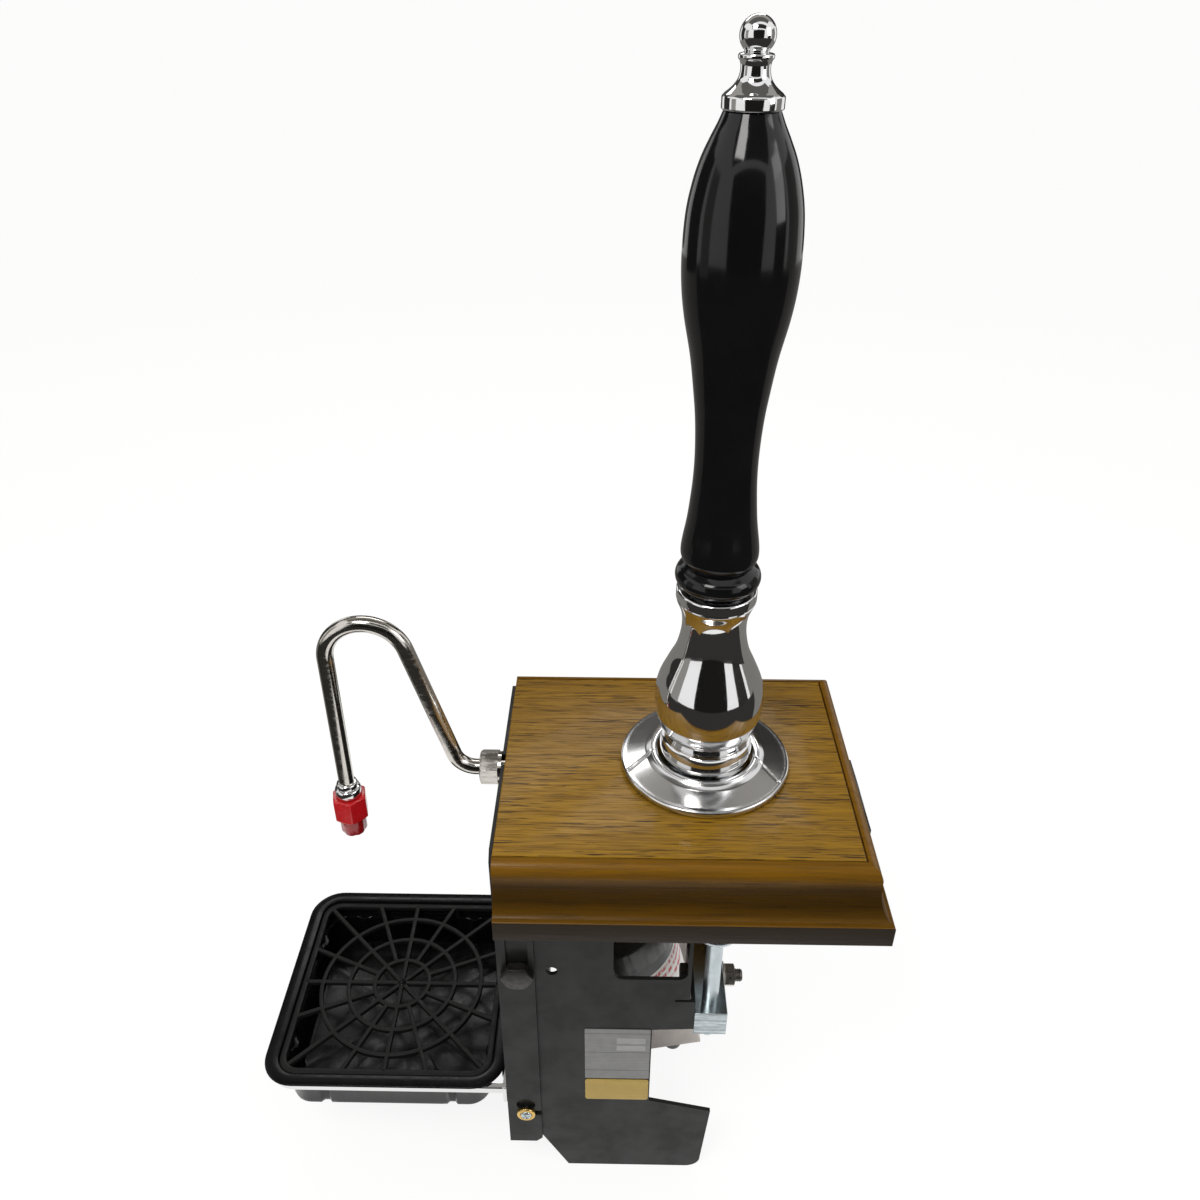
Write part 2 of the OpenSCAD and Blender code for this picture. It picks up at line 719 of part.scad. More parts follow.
// The space inside the rail
module scale_rail() {
    side = 2 * rail_y;
    r = tray_corner - 1.5 - rail_t;
    linear_extrude(rail_h + 2) {
        square([side - 2 * r, side], center = true);
        square([side, side - 2 * r], center = true);
        for (x = [-1, 1], y = [-1, 1]) translate([x, y] * (side / 2 - r)) circle(r);
        translate([0, -rail_y]) square([tray_side, side]);
    }
}

module tray_rail_screws() {
    color([0.7, 0.7, 0.68]) both_sides() {
        rod_x(2, front_out - lug_t, front_in + 6, lug_y, lug_z);
        rod_x(3.8, front_out - lug_t - 2.2, front_out - lug_t, lug_y, lug_z);
    }
}

rib_at = 42.5;
rib_w = 5;
// Upright grooves pressed into the tub's walls
module tub_grooves(side, depth, w) {
    for (a = [0, 90, 180, 270]) rotate([0, 0, a]) for (y = [-1, 1])
        translate([side / 2 - depth, y * rib_at - w / 2, 0]) cube([depth + 2, w, tray_h]);
}

module drip_tray() {
    z = -tray_drop;
    low_side = well_side - 2 * tub_inset;
    step_z = z - tub_step;
    color([0.07, 0.07, 0.075]) translate([tray_x, 0, 0]) difference() {
        union() {
            translate([0, 0, z - rim_t]) square_round(tray_side, tray_corner, rim_t);
            translate([0, 0, step_z]) square_round(well_side, tray_corner - rim_w, tub_step - rim_t);
            difference() {
                translate([0, 0, z - tray_h]) square_round(low_side, tray_corner - rim_w, tray_h - tub_step);
                translate([0, 0, step_z - tray_h]) tub_grooves(low_side, 2, rib_w);
            }
        }
        translate([0, 0, step_z + tray_wall])
            square_round(well_side - 2 * tray_wall, tray_corner - rim_w - tray_wall, tub_step + 2);
        difference() {
            translate([0, 0, z - tray_h + tray_wall])
                square_round(low_side - 2 * tray_wall, tray_corner - rim_w - tray_wall, tray_h - tub_step);
            translate([0, 0, step_z + tray_wall - tray_h])
                tub_grooves(low_side, 2 + tray_wall, rib_w + 2 * tray_wall);
        }
    }
}

spoke_w = 3;
boss_d = 5;
module tray_grid() {
    top = -tray_drop - 1.5;
    rings = [grid_r / 3 + 0.5, grid_r * 2 / 3, grid_r];
    inner = grid_side - 8;
    color([0.09, 0.09, 0.09]) translate([tray_x, 0, top - grid_t]) {
        difference() {
            square_round(grid_side, tray_corner - rim_w - tray_wall - 0.5, grid_t);
            translate([0, 0, -1]) square_round(inner, tray_corner - rim_w - tray_wall - 3, grid_t + 2);
        }
        intersection() {
            square_round(grid_side - 2, tray_corner - rim_w - tray_wall - 1, grid_t);
            for (i = [0 : spokes - 1]) rotate([0, 0, i * 360 / spokes])
                translate([i % 2 == 0 ? 0 : rings[0], -spoke_w / 2, 0]) cube([grid_side, spoke_w, grid_t]);
        }
        for (r = rings) difference() {
            cylinder(r = r + spoke_w / 2, h = grid_t, $fn = 72);
            translate([0, 0, -1]) cylinder(r = r - spoke_w / 2, h = grid_t + 2, $fn = 72);
        }
        cylinder(d = boss_d, h = grid_t + 1.2);
        for (a = [0, 90, 180, 270], y = [-30, 30]) rotate([0, 0, a])
            translate([grid_side / 2 - 2.2, y, grid_t + 1.5 + tray_wall - tub_step])
                cylinder(r = 2, h = tub_step - 1.5 - tray_wall - eps);
    }
}

// ---------- spout ----------

// Rings along the swan neck, from its collar in the nut to its mouth: x, z, heading, radius
neck_end_x = front_out - nut_len + 4;
neck_sides = 32;
neck_bends = concat(
    [for (a = [270 : -(90 - neck_lean) / 9 : 179.9 + neck_lean])
        [low_c[0] + neck_low_r * cos(a), low_c[1] + neck_low_r * sin(a), a - 90]],
    [for (i = [0 : 18]) let (a = neck_lean + (180 - neck_lean) * i / 18)
        [top_c[0] + neck_top_r * cos(a), top_c[1] + neck_top_r * sin(a), a + 90]],
    [[spout_x, mouth_z, 270]]);
outer_rings = concat(
    [[neck_end_x, spout_z, 180, stub_r - 0.6], [neck_end_x - collar_t, spout_z, 180, stub_r - 0.6],
     [neck_end_x - collar_t, spout_z, 180, neck_r]],
    [for (q = neck_bends) [q[0], q[1], q[2], neck_r]]);
inner_rings = concat([[neck_end_x, spout_z, 180, neck_r - neck_wall]],
    [for (q = neck_bends) [q[0], q[1], q[2], neck_r - neck_wall]]);

function ring_points(rings) = [for (q = rings, j = [0 : neck_sides - 1]) let (t = 360 * j / neck_sides)
    [q[0] - q[3] * cos(t) * sin(q[2]), q[3] * sin(t), q[1] + q[3] * cos(t) * cos(q[2])]];

// Two triangles for each facet between ring a and ring b
function facets(a, b) = [for (j = [0 : neck_sides - 1]) let (k = (j + 1) % neck_sides)
    each [[a + j, a + k, b + k], [a + j, b + k, b + j]]];

module swan_neck() {
    m = neck_sides;
    no = len(outer_rings);
    ni = len(inner_rings);
    color([0.8, 0.8, 0.8]) polyhedron(
        points = concat(ring_points(outer_rings), ring_points(inner_rings)),
        faces = concat(
            [for (i = [0 : no - 2]) each facets(i * m, (i + 1) * m)],
            [for (i = [0 : ni - 2]) each facets((no + i + 1) * m, (no + i) * m)],
            facets(no * m, 0), facets((no - 1) * m, (no + ni - 1) * m)));
}

// Elbow through the front cover: a threaded stub outside, a hose tail inside
module spout_elbow() {
    tail_z = board_under - 10;
    hole_r = shank_r - 1.5;
    color([0.78, 0.78, 0.76]) difference() {
        union() {
            rod_x(stub_r, front_out - nut_len + 2 + collar_t + 2 * pass_gap, front_out, 0, spout_z);
            rod_x(stub_r + 3, front_out - 2, front_out, 0, spout_z);
            rod_x(shank_r, front_out - eps, elbow_x, 0, spout_z);
            translate([elbow_x, 0, spout_z]) sphere(shank_r);
            translate([elbow_x, 0, tail_z]) cylinder(r = shank_r, h = spout_z - tail_z);
        }
        rod_x(hole_r, front_out - nut_len, elbow_x, 0, spout_z);
        translate([elbow_x, 0, spout_z]) sphere(hole_r);
        translate([elbow_x, 0, tail_z - 1]) cylinder(r = hole_r, h = spout_z - tail_z + 1);
    }
}

module spout_nut() {
    x0 = front_out - nut_len - 2;
    color([0.82, 0.81, 0.8]) difference() {
        intersection() {
            translate([x0, 0, spout_z]) rotate([0, 90, 0]) hex(nut_af, nut_len);
            translate([x0, 0, spout_z]) rotate([0, 90, 0]) rotate_extrude(angle = 360)
                polygon([[0, 0], [nut_af / 2 - 0.5, 0], [nut_af / 2 + 2, 2.5], [nut_af / 2 + 2, nut_len], [0, nut_len]]);
        }
        rod_x(neck_r + run_fit, x0 - 1, x0 + nut_len, 0, spout_z);
        rod_x(stub_r, x0 + 3.5, x0 + nut_len + 1, 0, spout_z);
    }
}

module spout_ferrule() {
    color([0.8, 0.8, 0.82]) translate([spout_x, 0, 0]) difference() {
        union() {
            translate([0, 0, mouth_z]) cylinder(r = 6, h = sparkler_h + 1);
            translate([0, 0, ferrule_z + pass_gap]) rotate_extrude() polygon([[0, 0], [7.6, 0], [7.9, 0.6], [7.9, 5],
                [7.2, 6], [6.4, 6.4], [6.4, 9], [5.6, 10], [0, 10]]);
        }
        translate([0, 0, mouth_z - 1]) cylinder(r = neck_r, h = 40);
    }
}

module sparkler_cap() {
    color([0.8, 0.09, 0.1]) translate([spout_x, 0, 0]) difference() {
        translate([0, 0, mouth_z - 2]) hex(sparkler_af, sparkler_h + 2);
        translate([0, 0, mouth_z - 0.5]) cylinder(r = 6 + run_fit, h = sparkler_h + 2);
        translate([0, 0, mouth_z - 3]) cylinder(r = 4, h = 4);
    }
}

module sparkler_nozzle() {
    h = 13;
    top = mouth_z - 2;
    color([0.75, 0.07, 0.09]) translate([spout_x, 0, top - h]) difference() {
        union() {
            translate([0, 0, 1]) cylinder(r = 8, h = h - 1);
            translate([0, 0, 0]) cylinder(r = 7.2, h = 1.5);
            translate([0, 0, -2]) cylinder(r = 3.2, h = 3);
        }
        translate([0, 0, 2]) cylinder(r = 5.5, h = h);
        for (a = [0 : 60 : 300]) rotate([0, 0, a]) translate([4.6, 0, -3]) cylinder(r = 0.6, h = 8, $fn = 16);
    }
}

// ---------- pump ----------

module cylinder_tube() {
    color([0.82, 0.83, 0.82]) on_cylinder() translate([0, 0, -foot_s - 6]) difference() {
        cylinder(d = cyl_d, h = cyl_len + 6, $fn = 96);
        translate([0, 0, -1]) cylinder(d = cyl_bore, h = cyl_len + 8, $fn = 96);
    }
}

module cylinder_cap() {
    skirt = 14;
    color([0.24, 0.24, 0.23]) on_cylinder() difference() {
        translate([0, 0, -cap_s - cap_h]) cylinder(d = cyl_d + 5, h = cap_h, $fn = 96);
        translate([0, 0, -cap_s - cap_h - 1]) cylinder(d = cyl_d, h = cap_h - 6 + 1, $fn = 96);
        translate([0, 0, -tube_s - 1]) cylinder(r = rod_d / 2 + run_fit, h = 20);
    }
}

module cylinder_band() {
    color([0.93, 0.92, 0.9]) on_cylinder() translate([0, 0, -cap_s - cap_h - 1 - band_h]) difference() {
        cylinder(d = cyl_d + 0.6, h = band_h, $fn = 96);
        translate([0, 0, -1]) cylinder(d = cyl_d, h = band_h + 2, $fn = 96);
    }
}

module gland_nut() {
    color([0.76, 0.6, 0.32]) on_cylinder() translate([0, 0, -cap_s]) difference() {
        hex(rod_d + 12, gland_h);
        translate([0, 0, -1]) cylinder(r = rod_d / 2 + run_fit, h = gland_h + 2);
    }
}

valve_off = 22;
valve_r = 8;
module cylinder_foot() {
    color([0.66, 0.64, 0.61]) on_cylinder() translate([0, 0, -base_s]) difference() {
        translate([-foot_side / 2, -foot_side / 2, 0]) cube([foot_side, foot_side, foot_t]);
        translate([0, 0, foot_t - 6]) cylinder(d = cyl_d, h = 7, $fn = 96);
        for (x = [-1, 1]) {
            translate([x * valve_off, 0, 3]) cylinder(r = valve_r, h = foot_t);
        }
        translate([valve_off, 0, -1]) cylinder(r = 5, h = 5);
        translate([-foot_side / 2 - 1, 0, foot_t / 2 - 1]) rotate([0, 90, 0]) cylinder(r = 4.5, h = foot_side / 2 - valve_off);
        for (x = [0, 1], y = [-1, 1]) translate([spacer_off + x * 14, y * foot_side / 2, foot_t / 2]) rotate([90, 0, 0])
            cylinder(r = 2.5, h = 14, center = true);
    }
}

module mount_spacers() {
    color([0.3, 0.3, 0.29]) on_cylinder() translate([0, 0, -base_s + foot_t / 2])
        for (x = [0, 1], y = [-1, 1]) translate([spacer_off + x * 14, 0, 0]) {
            translate([0, y < 0 ? -foot_side / 2 : side_in, 0]) rotate([90, 0, 0])
                cylinder(r = 5, h = side_in - foot_side / 2);
            translate([0, y < 0 ? -foot_side / 2 + 6 : foot_side / 2, 0]) rotate([90, 0, 0])
                cylinder(r = 2.5, h = 6);
        }
}

module valve_balls() {
    color([0.5, 0.12, 0.1]) on_cylinder() translate([0, 0, -base_s])
        for (x = [-1, 1]) translate([x * valve_off, 0, 3.05 + (x > 0 ? sqrt(11) : 6)]) sphere(6);
}

inlet_p = axis_c * side_v + base_s * down_v + valve_off * side_v;
inlet_low = inlet_p[1] - 52;
tail_r = 6.35;
tail_len = 18;
// Body of the suction fitting, whose hose tail points down
module inlet_fitting() {
    color([0.05, 0.05, 0.05]) difference() {
        union() {
            on_cylinder() translate([valve_off, 0, -base_s - 3]) cylinder(r = 12, h = 3);
            intersection() {
                translate([inlet_p[0], 0, inlet_low]) cylinder(r = 11, h = 60);
                on_cylinder() translate([-60, -60, -base_s - 60]) cube([160, 120, 57.02]);
                translate([inlet_p[0], 0, inlet_low]) rotate_extrude() polygon(concat([[0, tail_len], [6, tail_len]],
                    arc([6, tail_len + 5], 5, -90, 0, 5), [[11, 60], [0, 60]]));
            }
            translate([inlet_p[0], 0, inlet_low]) cylinder(r = tail_r, h = tail_len + eps);
        }
        translate([inlet_p[0], 0, inlet_low - 1]) cylinder(r = 4, h = 44);
        on_cylinder() translate([valve_off, 0, -base_s - 12]) cylinder(r = 4, h = 13);
    }
}

outlet_p = axis_c * side_v + (base_s - foot_t / 2 - 1) * down_v - foot_side / 2 * side_v;
hose_low = outlet_p[1] - (outlet_p[0] - elbow_x) * tan(cyl_lean);
hose_r = 6.5;
// Pipe from the foot to a square elbow below the outlet hose
module outlet_fitting() {
    run = (outlet_p[0] - elbow_x) / cos(cyl_lean);
    color([0.62, 0.6, 0.57]) difference() {
        union() {
            translate([outlet_p[0], 0, outlet_p[1]]) rotate([0, -90 - cyl_lean, 0]) cylinder(r = 5.5, h = run);
            translate([elbow_x - 7, -7, hose_low - 8]) cube([14, 14, 16]);
            translate([elbow_x, 0, hose_low]) cylinder(r = shank_r, h = 24);
        }
        translate([elbow_x, 0, hose_low - 3]) cylinder(r = 3, h = 28);
        translate([outlet_p[0], 0, outlet_p[1]]) rotate([0, -90 - cyl_lean, 0]) translate([0, 0, -1])
            cylinder(r = 2.6, h = run + 1);
    }
}

module outlet_hose() {
    low = hose_low + 8;
    top = board_under - 2;
    color([0.55, 0.57, 0.55]) translate([elbow_x, 0, low]) difference() {
        cylinder(r = hose_r, h = top - low);
        translate([0, 0, -1]) cylinder(r = shank_r, h = top - low + 2);
    }
}

// ---------- moving pump parts ----------

module piston() {
    color([0.85, 0.84, 0.8]) on_cylinder() translate([0, 0, -piston_s - piston_t]) difference() {
        rotate_extrude($fn = 96) polygon([[0, 0], [cyl_bore / 2 - 0.6, 0], [cyl_bore / 2 - 0.6, 3],
            [cyl_bore / 2 - 3, 3], [cyl_bore / 2 - 3, 6], [cyl_bore / 2 - 0.6, 6],
            [cyl_bore / 2 - 0.6, piston_t - 6], [cyl_bore / 2 - 3, piston_t - 6],
            [cyl_bore / 2 - 3, piston_t - 3], [cyl_bore / 2 - 0.6, piston_t - 3],
            [cyl_bore / 2 - 0.6, piston_t], [0, piston_t]]);
        translate([0, 0, 3]) cylinder(r = rod_d / 2, h = piston_t);
    }
}

module piston_seals() {
    color([0.1, 0.1, 0.1]) on_cylinder() for (z = [3, piston_t - 6]) translate([0, 0, -piston_s - piston_t + z])
        rotate_extrude($fn = 96) polygon([[cyl_bore / 2 - 3, 0.1], [cyl_bore / 2 - run_fit, 0.1],
            [cyl_bore / 2 - run_fit, 2.9], [cyl_bore / 2 - 3, 2.9]]);
}

module piston_rod() {
    color([0.78, 0.78, 0.77]) on_cylinder() translate([0, 0, -piston_s - piston_t + 3])
        cylinder(r = rod_d / 2, h = piston_s + piston_t - 3 - rest_s - crank_d / 2 - 1);
}

eye_half = lever_t / 2;
module rod_eye() {
    color([0.7, 0.7, 0.68]) on_cylinder() translate([0, 0, -rest_s]) difference() {
        union() {
            rod_y(eye_r, -eye_half, eye_half, 0, 0);
            translate([-eye_r, -eye_half, -eye_r]) cube([2 * eye_r, 2 * eye_half, eye_r]);
        }
        rod_y(crank_d / 2, -20, 20, 0, 0);
        translate([0, 0, -eye_r - 1]) cylinder(r = rod_d / 2, h = eye_r - crank_d / 2);
    }
}

pin_half = link_out + pass_gap;
module headed_pin() {
    rod_y(crank_d / 2, -pin_half, pin_half, 0, 0);
    both_sides() rod_y(crank_d / 2 + 2.5, pin_half, pin_half + 1.5, 0, 0);
}

module wrist_pin() {
    color([0.75, 0.75, 0.74]) on_cylinder() translate([0, 0, -rest_s]) headed_pin();
}

module crank_pin() {
    color([0.75, 0.75, 0.74]) translate([crank_p[0], 0, crank_p[1]]) headed_pin();
}

module link_plates() {
    a = asin(axis_off / link_len) + play_a;
    half_w = 8;
    end_w = crank_d / 2 + wrist_slack + 3.5;
    color([0.55, 0.56, 0.55]) translate([crank_p[0], 0, crank_p[1]]) rotate([0, -cyl_lean - a, 0]) both_sides()
        difference() {
            union() {
                rod_y(half_w, link_out - link_t, link_out, 0, 0);
                rod_y(end_w, link_out - link_t, link_out, 0, -link_len);
                translate([-half_w, link_out - link_t, -link_len]) cube([2 * half_w, link_t, link_len]);
            }
            rod_y(crank_d / 2 + run_fit, link_out - link_t - 1, link_out + 1, 0, 0);
            rod_y(crank_d / 2 + wrist_slack, link_out - link_t - 1, link_out + 1, 0, -link_len);
        }
}

// ---------- lever and handle ----------

// Bell crank: boss on the pivot pin, leg through the board, arm out to the crank pin
module lever() {
    h = lever_t / 2;
    color([0.5, 0.5, 0.49]) difference() {
        union() {
            rod_y(boss_r, -boss_half, boss_half, handle_x, pivot_z);
            translate([handle_x, 0, pivot_z]) cylinder(r = throat_r - fit, h = neck_top);
            slab([[handle_x - h, pivot_z], [handle_x - h, arm_z + h], [crank_p[0], arm_z + h], [crank_p[0], arm_z - h],
                  [handle_x, arm_z - h], [handle_x + h, arm_z], [handle_x + h, pivot_z]], -h, h);
            rod_y(eye_r, -boss_half, boss_half, crank_p[0], crank_p[1]);
        }
        rod_y(pivot_d / 2 + bush_wall, -20, 20, handle_x, pivot_z);
        rod_y(crank_d / 2, -20, 20, crank_p[0], crank_p[1]);
        translate([handle_x, 0, pivot_z + boss_r]) cylinder(r = stud_r, h = neck_top);
    }
}

module lever_bush() {
    color([0.76, 0.6, 0.32]) difference() {
        rod_y(pivot_d / 2 + bush_wall, -boss_half, boss_half, handle_x, pivot_z);
        rod_y(pivot_d / 2 + run_fit, -20, 20, handle_x, pivot_z);
    }
}

ferrule_z0 = pivot_z;
collar_z = pivot_z + ferrule_h;
grip_z = collar_z + collar_h;
finial_z = grip_z + grip_len;
belly = ferrule_d / 2;
// Ferrule outline above the ball: radius and height over the pivot
ferrule_curve = smooth([[24.4, 9.5], [25.6, 12.5], [belly - 2.6, 19], [belly - 0.6, 28], [belly, 38],
    [belly - 1.4, 47], [belly - 6.2, 58], [belly - 10.6, 69], [belly - 12.9, 80], [belly - 13.4, 88],
    [belly - 12.2, 95], [belly - 9.8, ferrule_h - 9]], 4);

module handle_ferrule() {
    lip = collar_d / 2 - 1.2;
    color([0.8, 0.8, 0.82]) translate([handle_x, 0, pivot_z]) difference() {
        rotate_extrude($fn = 96) polygon(concat(
            [[cavity_r, -5]], arc([0, 0], ball_r, -asin(5 / ball_r), 16, 8), [[24.6, 8.4]], ferrule_curve,
            [[lip, ferrule_h - 7], [lip, ferrule_h - 0.8], [lip - 0.8, ferrule_h], [stud_r + fit, ferrule_h],
             [stud_r + fit, neck_top], [throat_r, neck_top], [throat_r, 16.5], [cavity_r - 6, 16.5], [cavity_r, 8]]));
    }
}

module grip_collar() {
    r = collar_d / 2;
    color([0.03, 0.03, 0.03]) translate([handle_x, 0, collar_z]) rotate_extrude($fn = 96) polygon(concat(
        [[stud_r + fit, 0], [r - 3.2, 0]], arc([r - 7.4, collar_h / 2 - 1], 7.4, -60, 60, 10),
        [[r - 5.6, collar_h - 1.2], [r - 5.6, collar_h], [stud_r + fit, collar_h]]));
}

g = grip_d / 2;
gl = grip_len;
// Grip outline: radius and height over its foot
grip_curve = smooth([[g - 7.6, 0.6], [g - 6.4, 4], [g - 6.3, 8], [g - 7.1, 14], [g - 8.8, 0.12 * gl],
    [g - 10, 0.172 * gl], [g - 10.7, 0.22 * gl], [g - 10.9, 0.27 * gl], [g - 10.6, 0.32 * gl],
    [g - 9.9, 0.373 * gl], [g - 8.8, 0.421 * gl], [g - 6.1, 0.513 * gl], [g - 2.3, 0.6 * gl],
    [g - 0.5, 0.665 * gl], [g, 0.73 * gl], [g - 0.9, 0.81 * gl], [g - 3.2, 0.868 * gl],
    [g - 6.2, 0.914 * gl], [g - 9.6, 0.95 * gl], [g - 12.4, 0.976 * gl], [g - 14.2, 0.995 * gl]], 3);

module grip() {
    color([0.03, 0.03, 0.03]) translate([handle_x, 0, grip_z]) rotate_extrude($fn = 96) polygon(concat(
        [[stud_r + fit, 0], [g - 8.6, 0]], grip_curve, [[g - 14.8, gl], [stud_r + fit, gl]]));
}

module finial() {
    r = finial_ball_d / 2;
    b = finial_h - r;
    color([0.82, 0.82, 0.84]) translate([handle_x, 0, finial_z]) difference() {
        rotate_extrude($fn = 72) polygon(concat(
            [[0, 0], [12.6, 0], [13.2, 0.8], [13.2, 5.2], [12.4, 6.2]],
            smooth([[12, 7], [9.2, 10], [7.2, 13.5], [6.3, b - 10.5], [6.8, b - 8.6]], 3),
            [[7.6, b - 8.2], [7.6, b - 6.8]], arc([0, b], r, -55, 90, 12)));
        translate([0, 0, -1]) cylinder(r = stud_r, h = 9);
    }
}

module handle_stud() {
    color([0.6, 0.6, 0.58]) translate([handle_x, 0, pivot_z + boss_r])
        cylinder(r = stud_r, h = finial_z + 8 - pivot_z - boss_r);
}

top_board();
near_moulding();
far_moulding();
bar_side_moulding();
seat_panel();
clip_bracket();
near_side_plate();
far_side_plate();
front_cover();
stay_rods();
frame_screws();
silver_plate();
gold_plate();
cover_bolts();
cup_washers();
cover_screws();
pivot_bracket();
pivot_pin();
rosette();
clamp_bar();
clamp_bolts();
clamp_nuts();
near_clamp_screw();
near_clamp_pad();
far_clamp_screw();
far_clamp_pad();
tray_rail();
tray_rail_screws();
drip_tray();
tray_grid();
spout_elbow();
spout_nut();
swan_neck();
spout_ferrule();
sparkler_cap();
sparkler_nozzle();
cylinder_tube();
cylinder_cap();
cylinder_band();
gland_nut();
cylinder_foot();
mount_spacers();
valve_balls();
inlet_fitting();
outlet_fitting();
outlet_hose();
grip();
grip_collar();
finial();
handle_ferrule();
handle_stud();
lever();
lever_bush();
crank_pin();
link_plates();
piston();
piston_seals();
piston_rod();
rod_eye();
wrist_pin();
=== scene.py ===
import math

import bmesh
import bpy
from mathutils import Matrix, Vector


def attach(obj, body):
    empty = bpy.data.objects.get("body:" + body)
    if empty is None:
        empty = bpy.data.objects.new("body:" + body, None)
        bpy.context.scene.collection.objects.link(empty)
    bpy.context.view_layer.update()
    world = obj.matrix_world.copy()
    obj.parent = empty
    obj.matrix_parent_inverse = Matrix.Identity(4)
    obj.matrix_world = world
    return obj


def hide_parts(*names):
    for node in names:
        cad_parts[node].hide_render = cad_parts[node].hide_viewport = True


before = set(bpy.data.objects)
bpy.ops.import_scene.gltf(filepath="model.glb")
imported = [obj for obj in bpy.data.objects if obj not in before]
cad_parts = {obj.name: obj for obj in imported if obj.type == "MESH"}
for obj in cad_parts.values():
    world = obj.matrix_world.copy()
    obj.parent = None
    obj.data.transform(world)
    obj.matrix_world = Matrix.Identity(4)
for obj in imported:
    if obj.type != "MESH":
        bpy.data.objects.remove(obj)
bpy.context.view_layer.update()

bl_info = {
    "name": "Hand Pump Dressing",
    "version": (1, 0, 0),
    "blender": (4, 5, 0),
    "location": "View3D > Sidebar > Hand Pump",
    "description": "Finishes and detailed pieces for a clamp-on hand pump",
    "category": "Object",
}

MM = 0.001
TURN = 2 * math.pi

# Places on the pump, in millimetres
HANDLE_X = -50.0
PIVOT_Z = 61.0
BOARD = (-169.5, 31.5, 79.0, 28.0, 48.0)  # left, right, half width, under, top
MOULD_OUT = 17.0
COVER_X = -171.7
SPOUT_X = -268.2
SPOUT_Z = 40.5
NECK_R = 4.75
TRAY_X = -253.7
TRAY_Z = -163.0
BAR_X = -43.25
BAR_TOP = -87.5
PAD_Z = -24.0
CLAMP_Y = 66.0
BOLT_X = -159.7
CRANK = (-134.0, 14.0)  # crank pin at rest, X and Z
LEAN = math.radians(15)  # lean of the pump's cylinder
AXIS_OFF = 2.0  # cylinder's axis to the crank pin
CAP_LOW = -77.514  # cap's lower end, up the cylinder's axis
BAND_LOW = -118.514  # the same for the printed band


# ---------- shapes ----------


def catmull(points, steps=8):
    """A smooth run of points through the given ones."""
    out = []
    last = len(points) - 1
    for i in range(last):
        a, b, c, d = points[max(i - 1, 0)], points[i], points[i + 1], points[min(i + 2, last)]
        for k in range(steps):
            t = k / steps
            out.append(tuple(
                0.5 * (2 * q + (r - p) * t + (2 * p - 5 * q + 4 * r - s) * t * t
                       + (3 * q - p - 3 * r + s) * t ** 3)
                for p, q, r, s in zip(a, b, c, d)))
    return out + [tuple(points[last])]


def arc(cx, cy, r, a0, a1, n=8):
    """Points of an arc, angles in degrees."""
    return [(cx + r * math.cos(math.radians(a0 + (a1 - a0) * i / n)),
             cy + r * math.sin(math.radians(a0 + (a1 - a0) * i / n))) for i in range(n + 1)]


def lathe(profile, n=96, loop=False):
    """Turned shape about Z from (radius, height) pairs."""
    verts, rings, faces = [], [], []
    for r, z in profile:
        if r < 1e-6:
            rings.append([len(verts)])
            verts.append((0, 0, z))
        else:
            rings.append(list(range(len(verts), len(verts) + n)))
            verts += [(r * math.cos(TURN * i / n), r * math.sin(TURN * i / n), z) for i in range(n)]
    pairs = list(zip(rings, rings[1:])) + ([(rings[-1], rings[0])] if loop else [])
    for a, b in pairs:
        for i in range(n):
            j = (i + 1) % n
            if len(a) == 1 and len(b) == 1:
                continue
            if len(a) == 1:
                faces.append((a[0], b[j], b[i]))
            elif len(b) == 1:
                faces.append((a[i], a[j], b[0]))
            else:
                faces.append((a[i], a[j], b[j], b[i]))
    return verts, faces


def loft(rings, loop=False):
    """Skin over rings of equal length, closed at both ends or looped."""
    n = len(rings[0])
    verts = [v for ring in rings for v in ring]
    faces = []
    pairs = [(k, k + 1) for k in range(len(rings) - 1)] + ([(len(rings) - 1, 0)] if loop else [])
    for a, b in pairs:
        for i in range(n):
            j = (i + 1) % n
            faces.append((a * n + i, a * n + j, b * n + j, b * n + i))
    if not loop:
        faces.append(tuple(range(n)))
        faces.append(tuple(range((len(rings) - 1) * n, len(rings) * n)))
    return verts, faces


def box(x0, x1, y0, y1, z0, z1):
    """Plain block, to be given rounded edges."""
    return loft([[(x0, y0, z), (x1, y0, z), (x1, y1, z), (x0, y1, z)] for z in (z0, z1)])


def slab(outline, y0, y1):
    """XZ outline between two Y planes."""
    return loft([[(x, y, z) for x, z in outline] for y in (y0, y1)])


def tube(path, radius, n=48):
    """Round bar along (x, z, heading) stations in the middle plane."""
    rings = []
    for x, z, head in path:
        ring = []
        for i in range(n):
            out = radius * math.cos(TURN * i / n)
            ring.append((x - out * math.sin(head), radius * math.sin(TURN * i / n), z + out * math.cos(head)))
        rings.append(ring)
    return loft(rings)


def hex_bar(af, h, low=True, high=True, hole=0.0, n=72):
    """Hexagon bar with turned corners at either end, on Z."""
    inner = af / 2 * 0.96
    sixth = TURN / 6
    rims = [(af / 2) / math.cos((TURN * i / n + sixth / 2) % sixth - sixth / 2) for i in range(n)]

    def ring(radii, heights):
        return [(r * math.cos(TURN * i / n), r * math.sin(TURN * i / n), z)
                for i, (r, z) in enumerate(zip(radii, heights))]

    cut = [(r - inner) * 0.55 for r in rims]
    core = max(hole, 0.01)
    rings = [ring([core] * n, [0] * n), ring([inner] * n, [0] * n),
             ring(rims, [c if low else 0.02 for c in cut]),
             ring(rims, [h - (c if high else 0.02) for c in cut]),
             ring([inner] * n, [h] * n), ring([core] * n, [h] * n)]
    return loft(rings, loop=True)


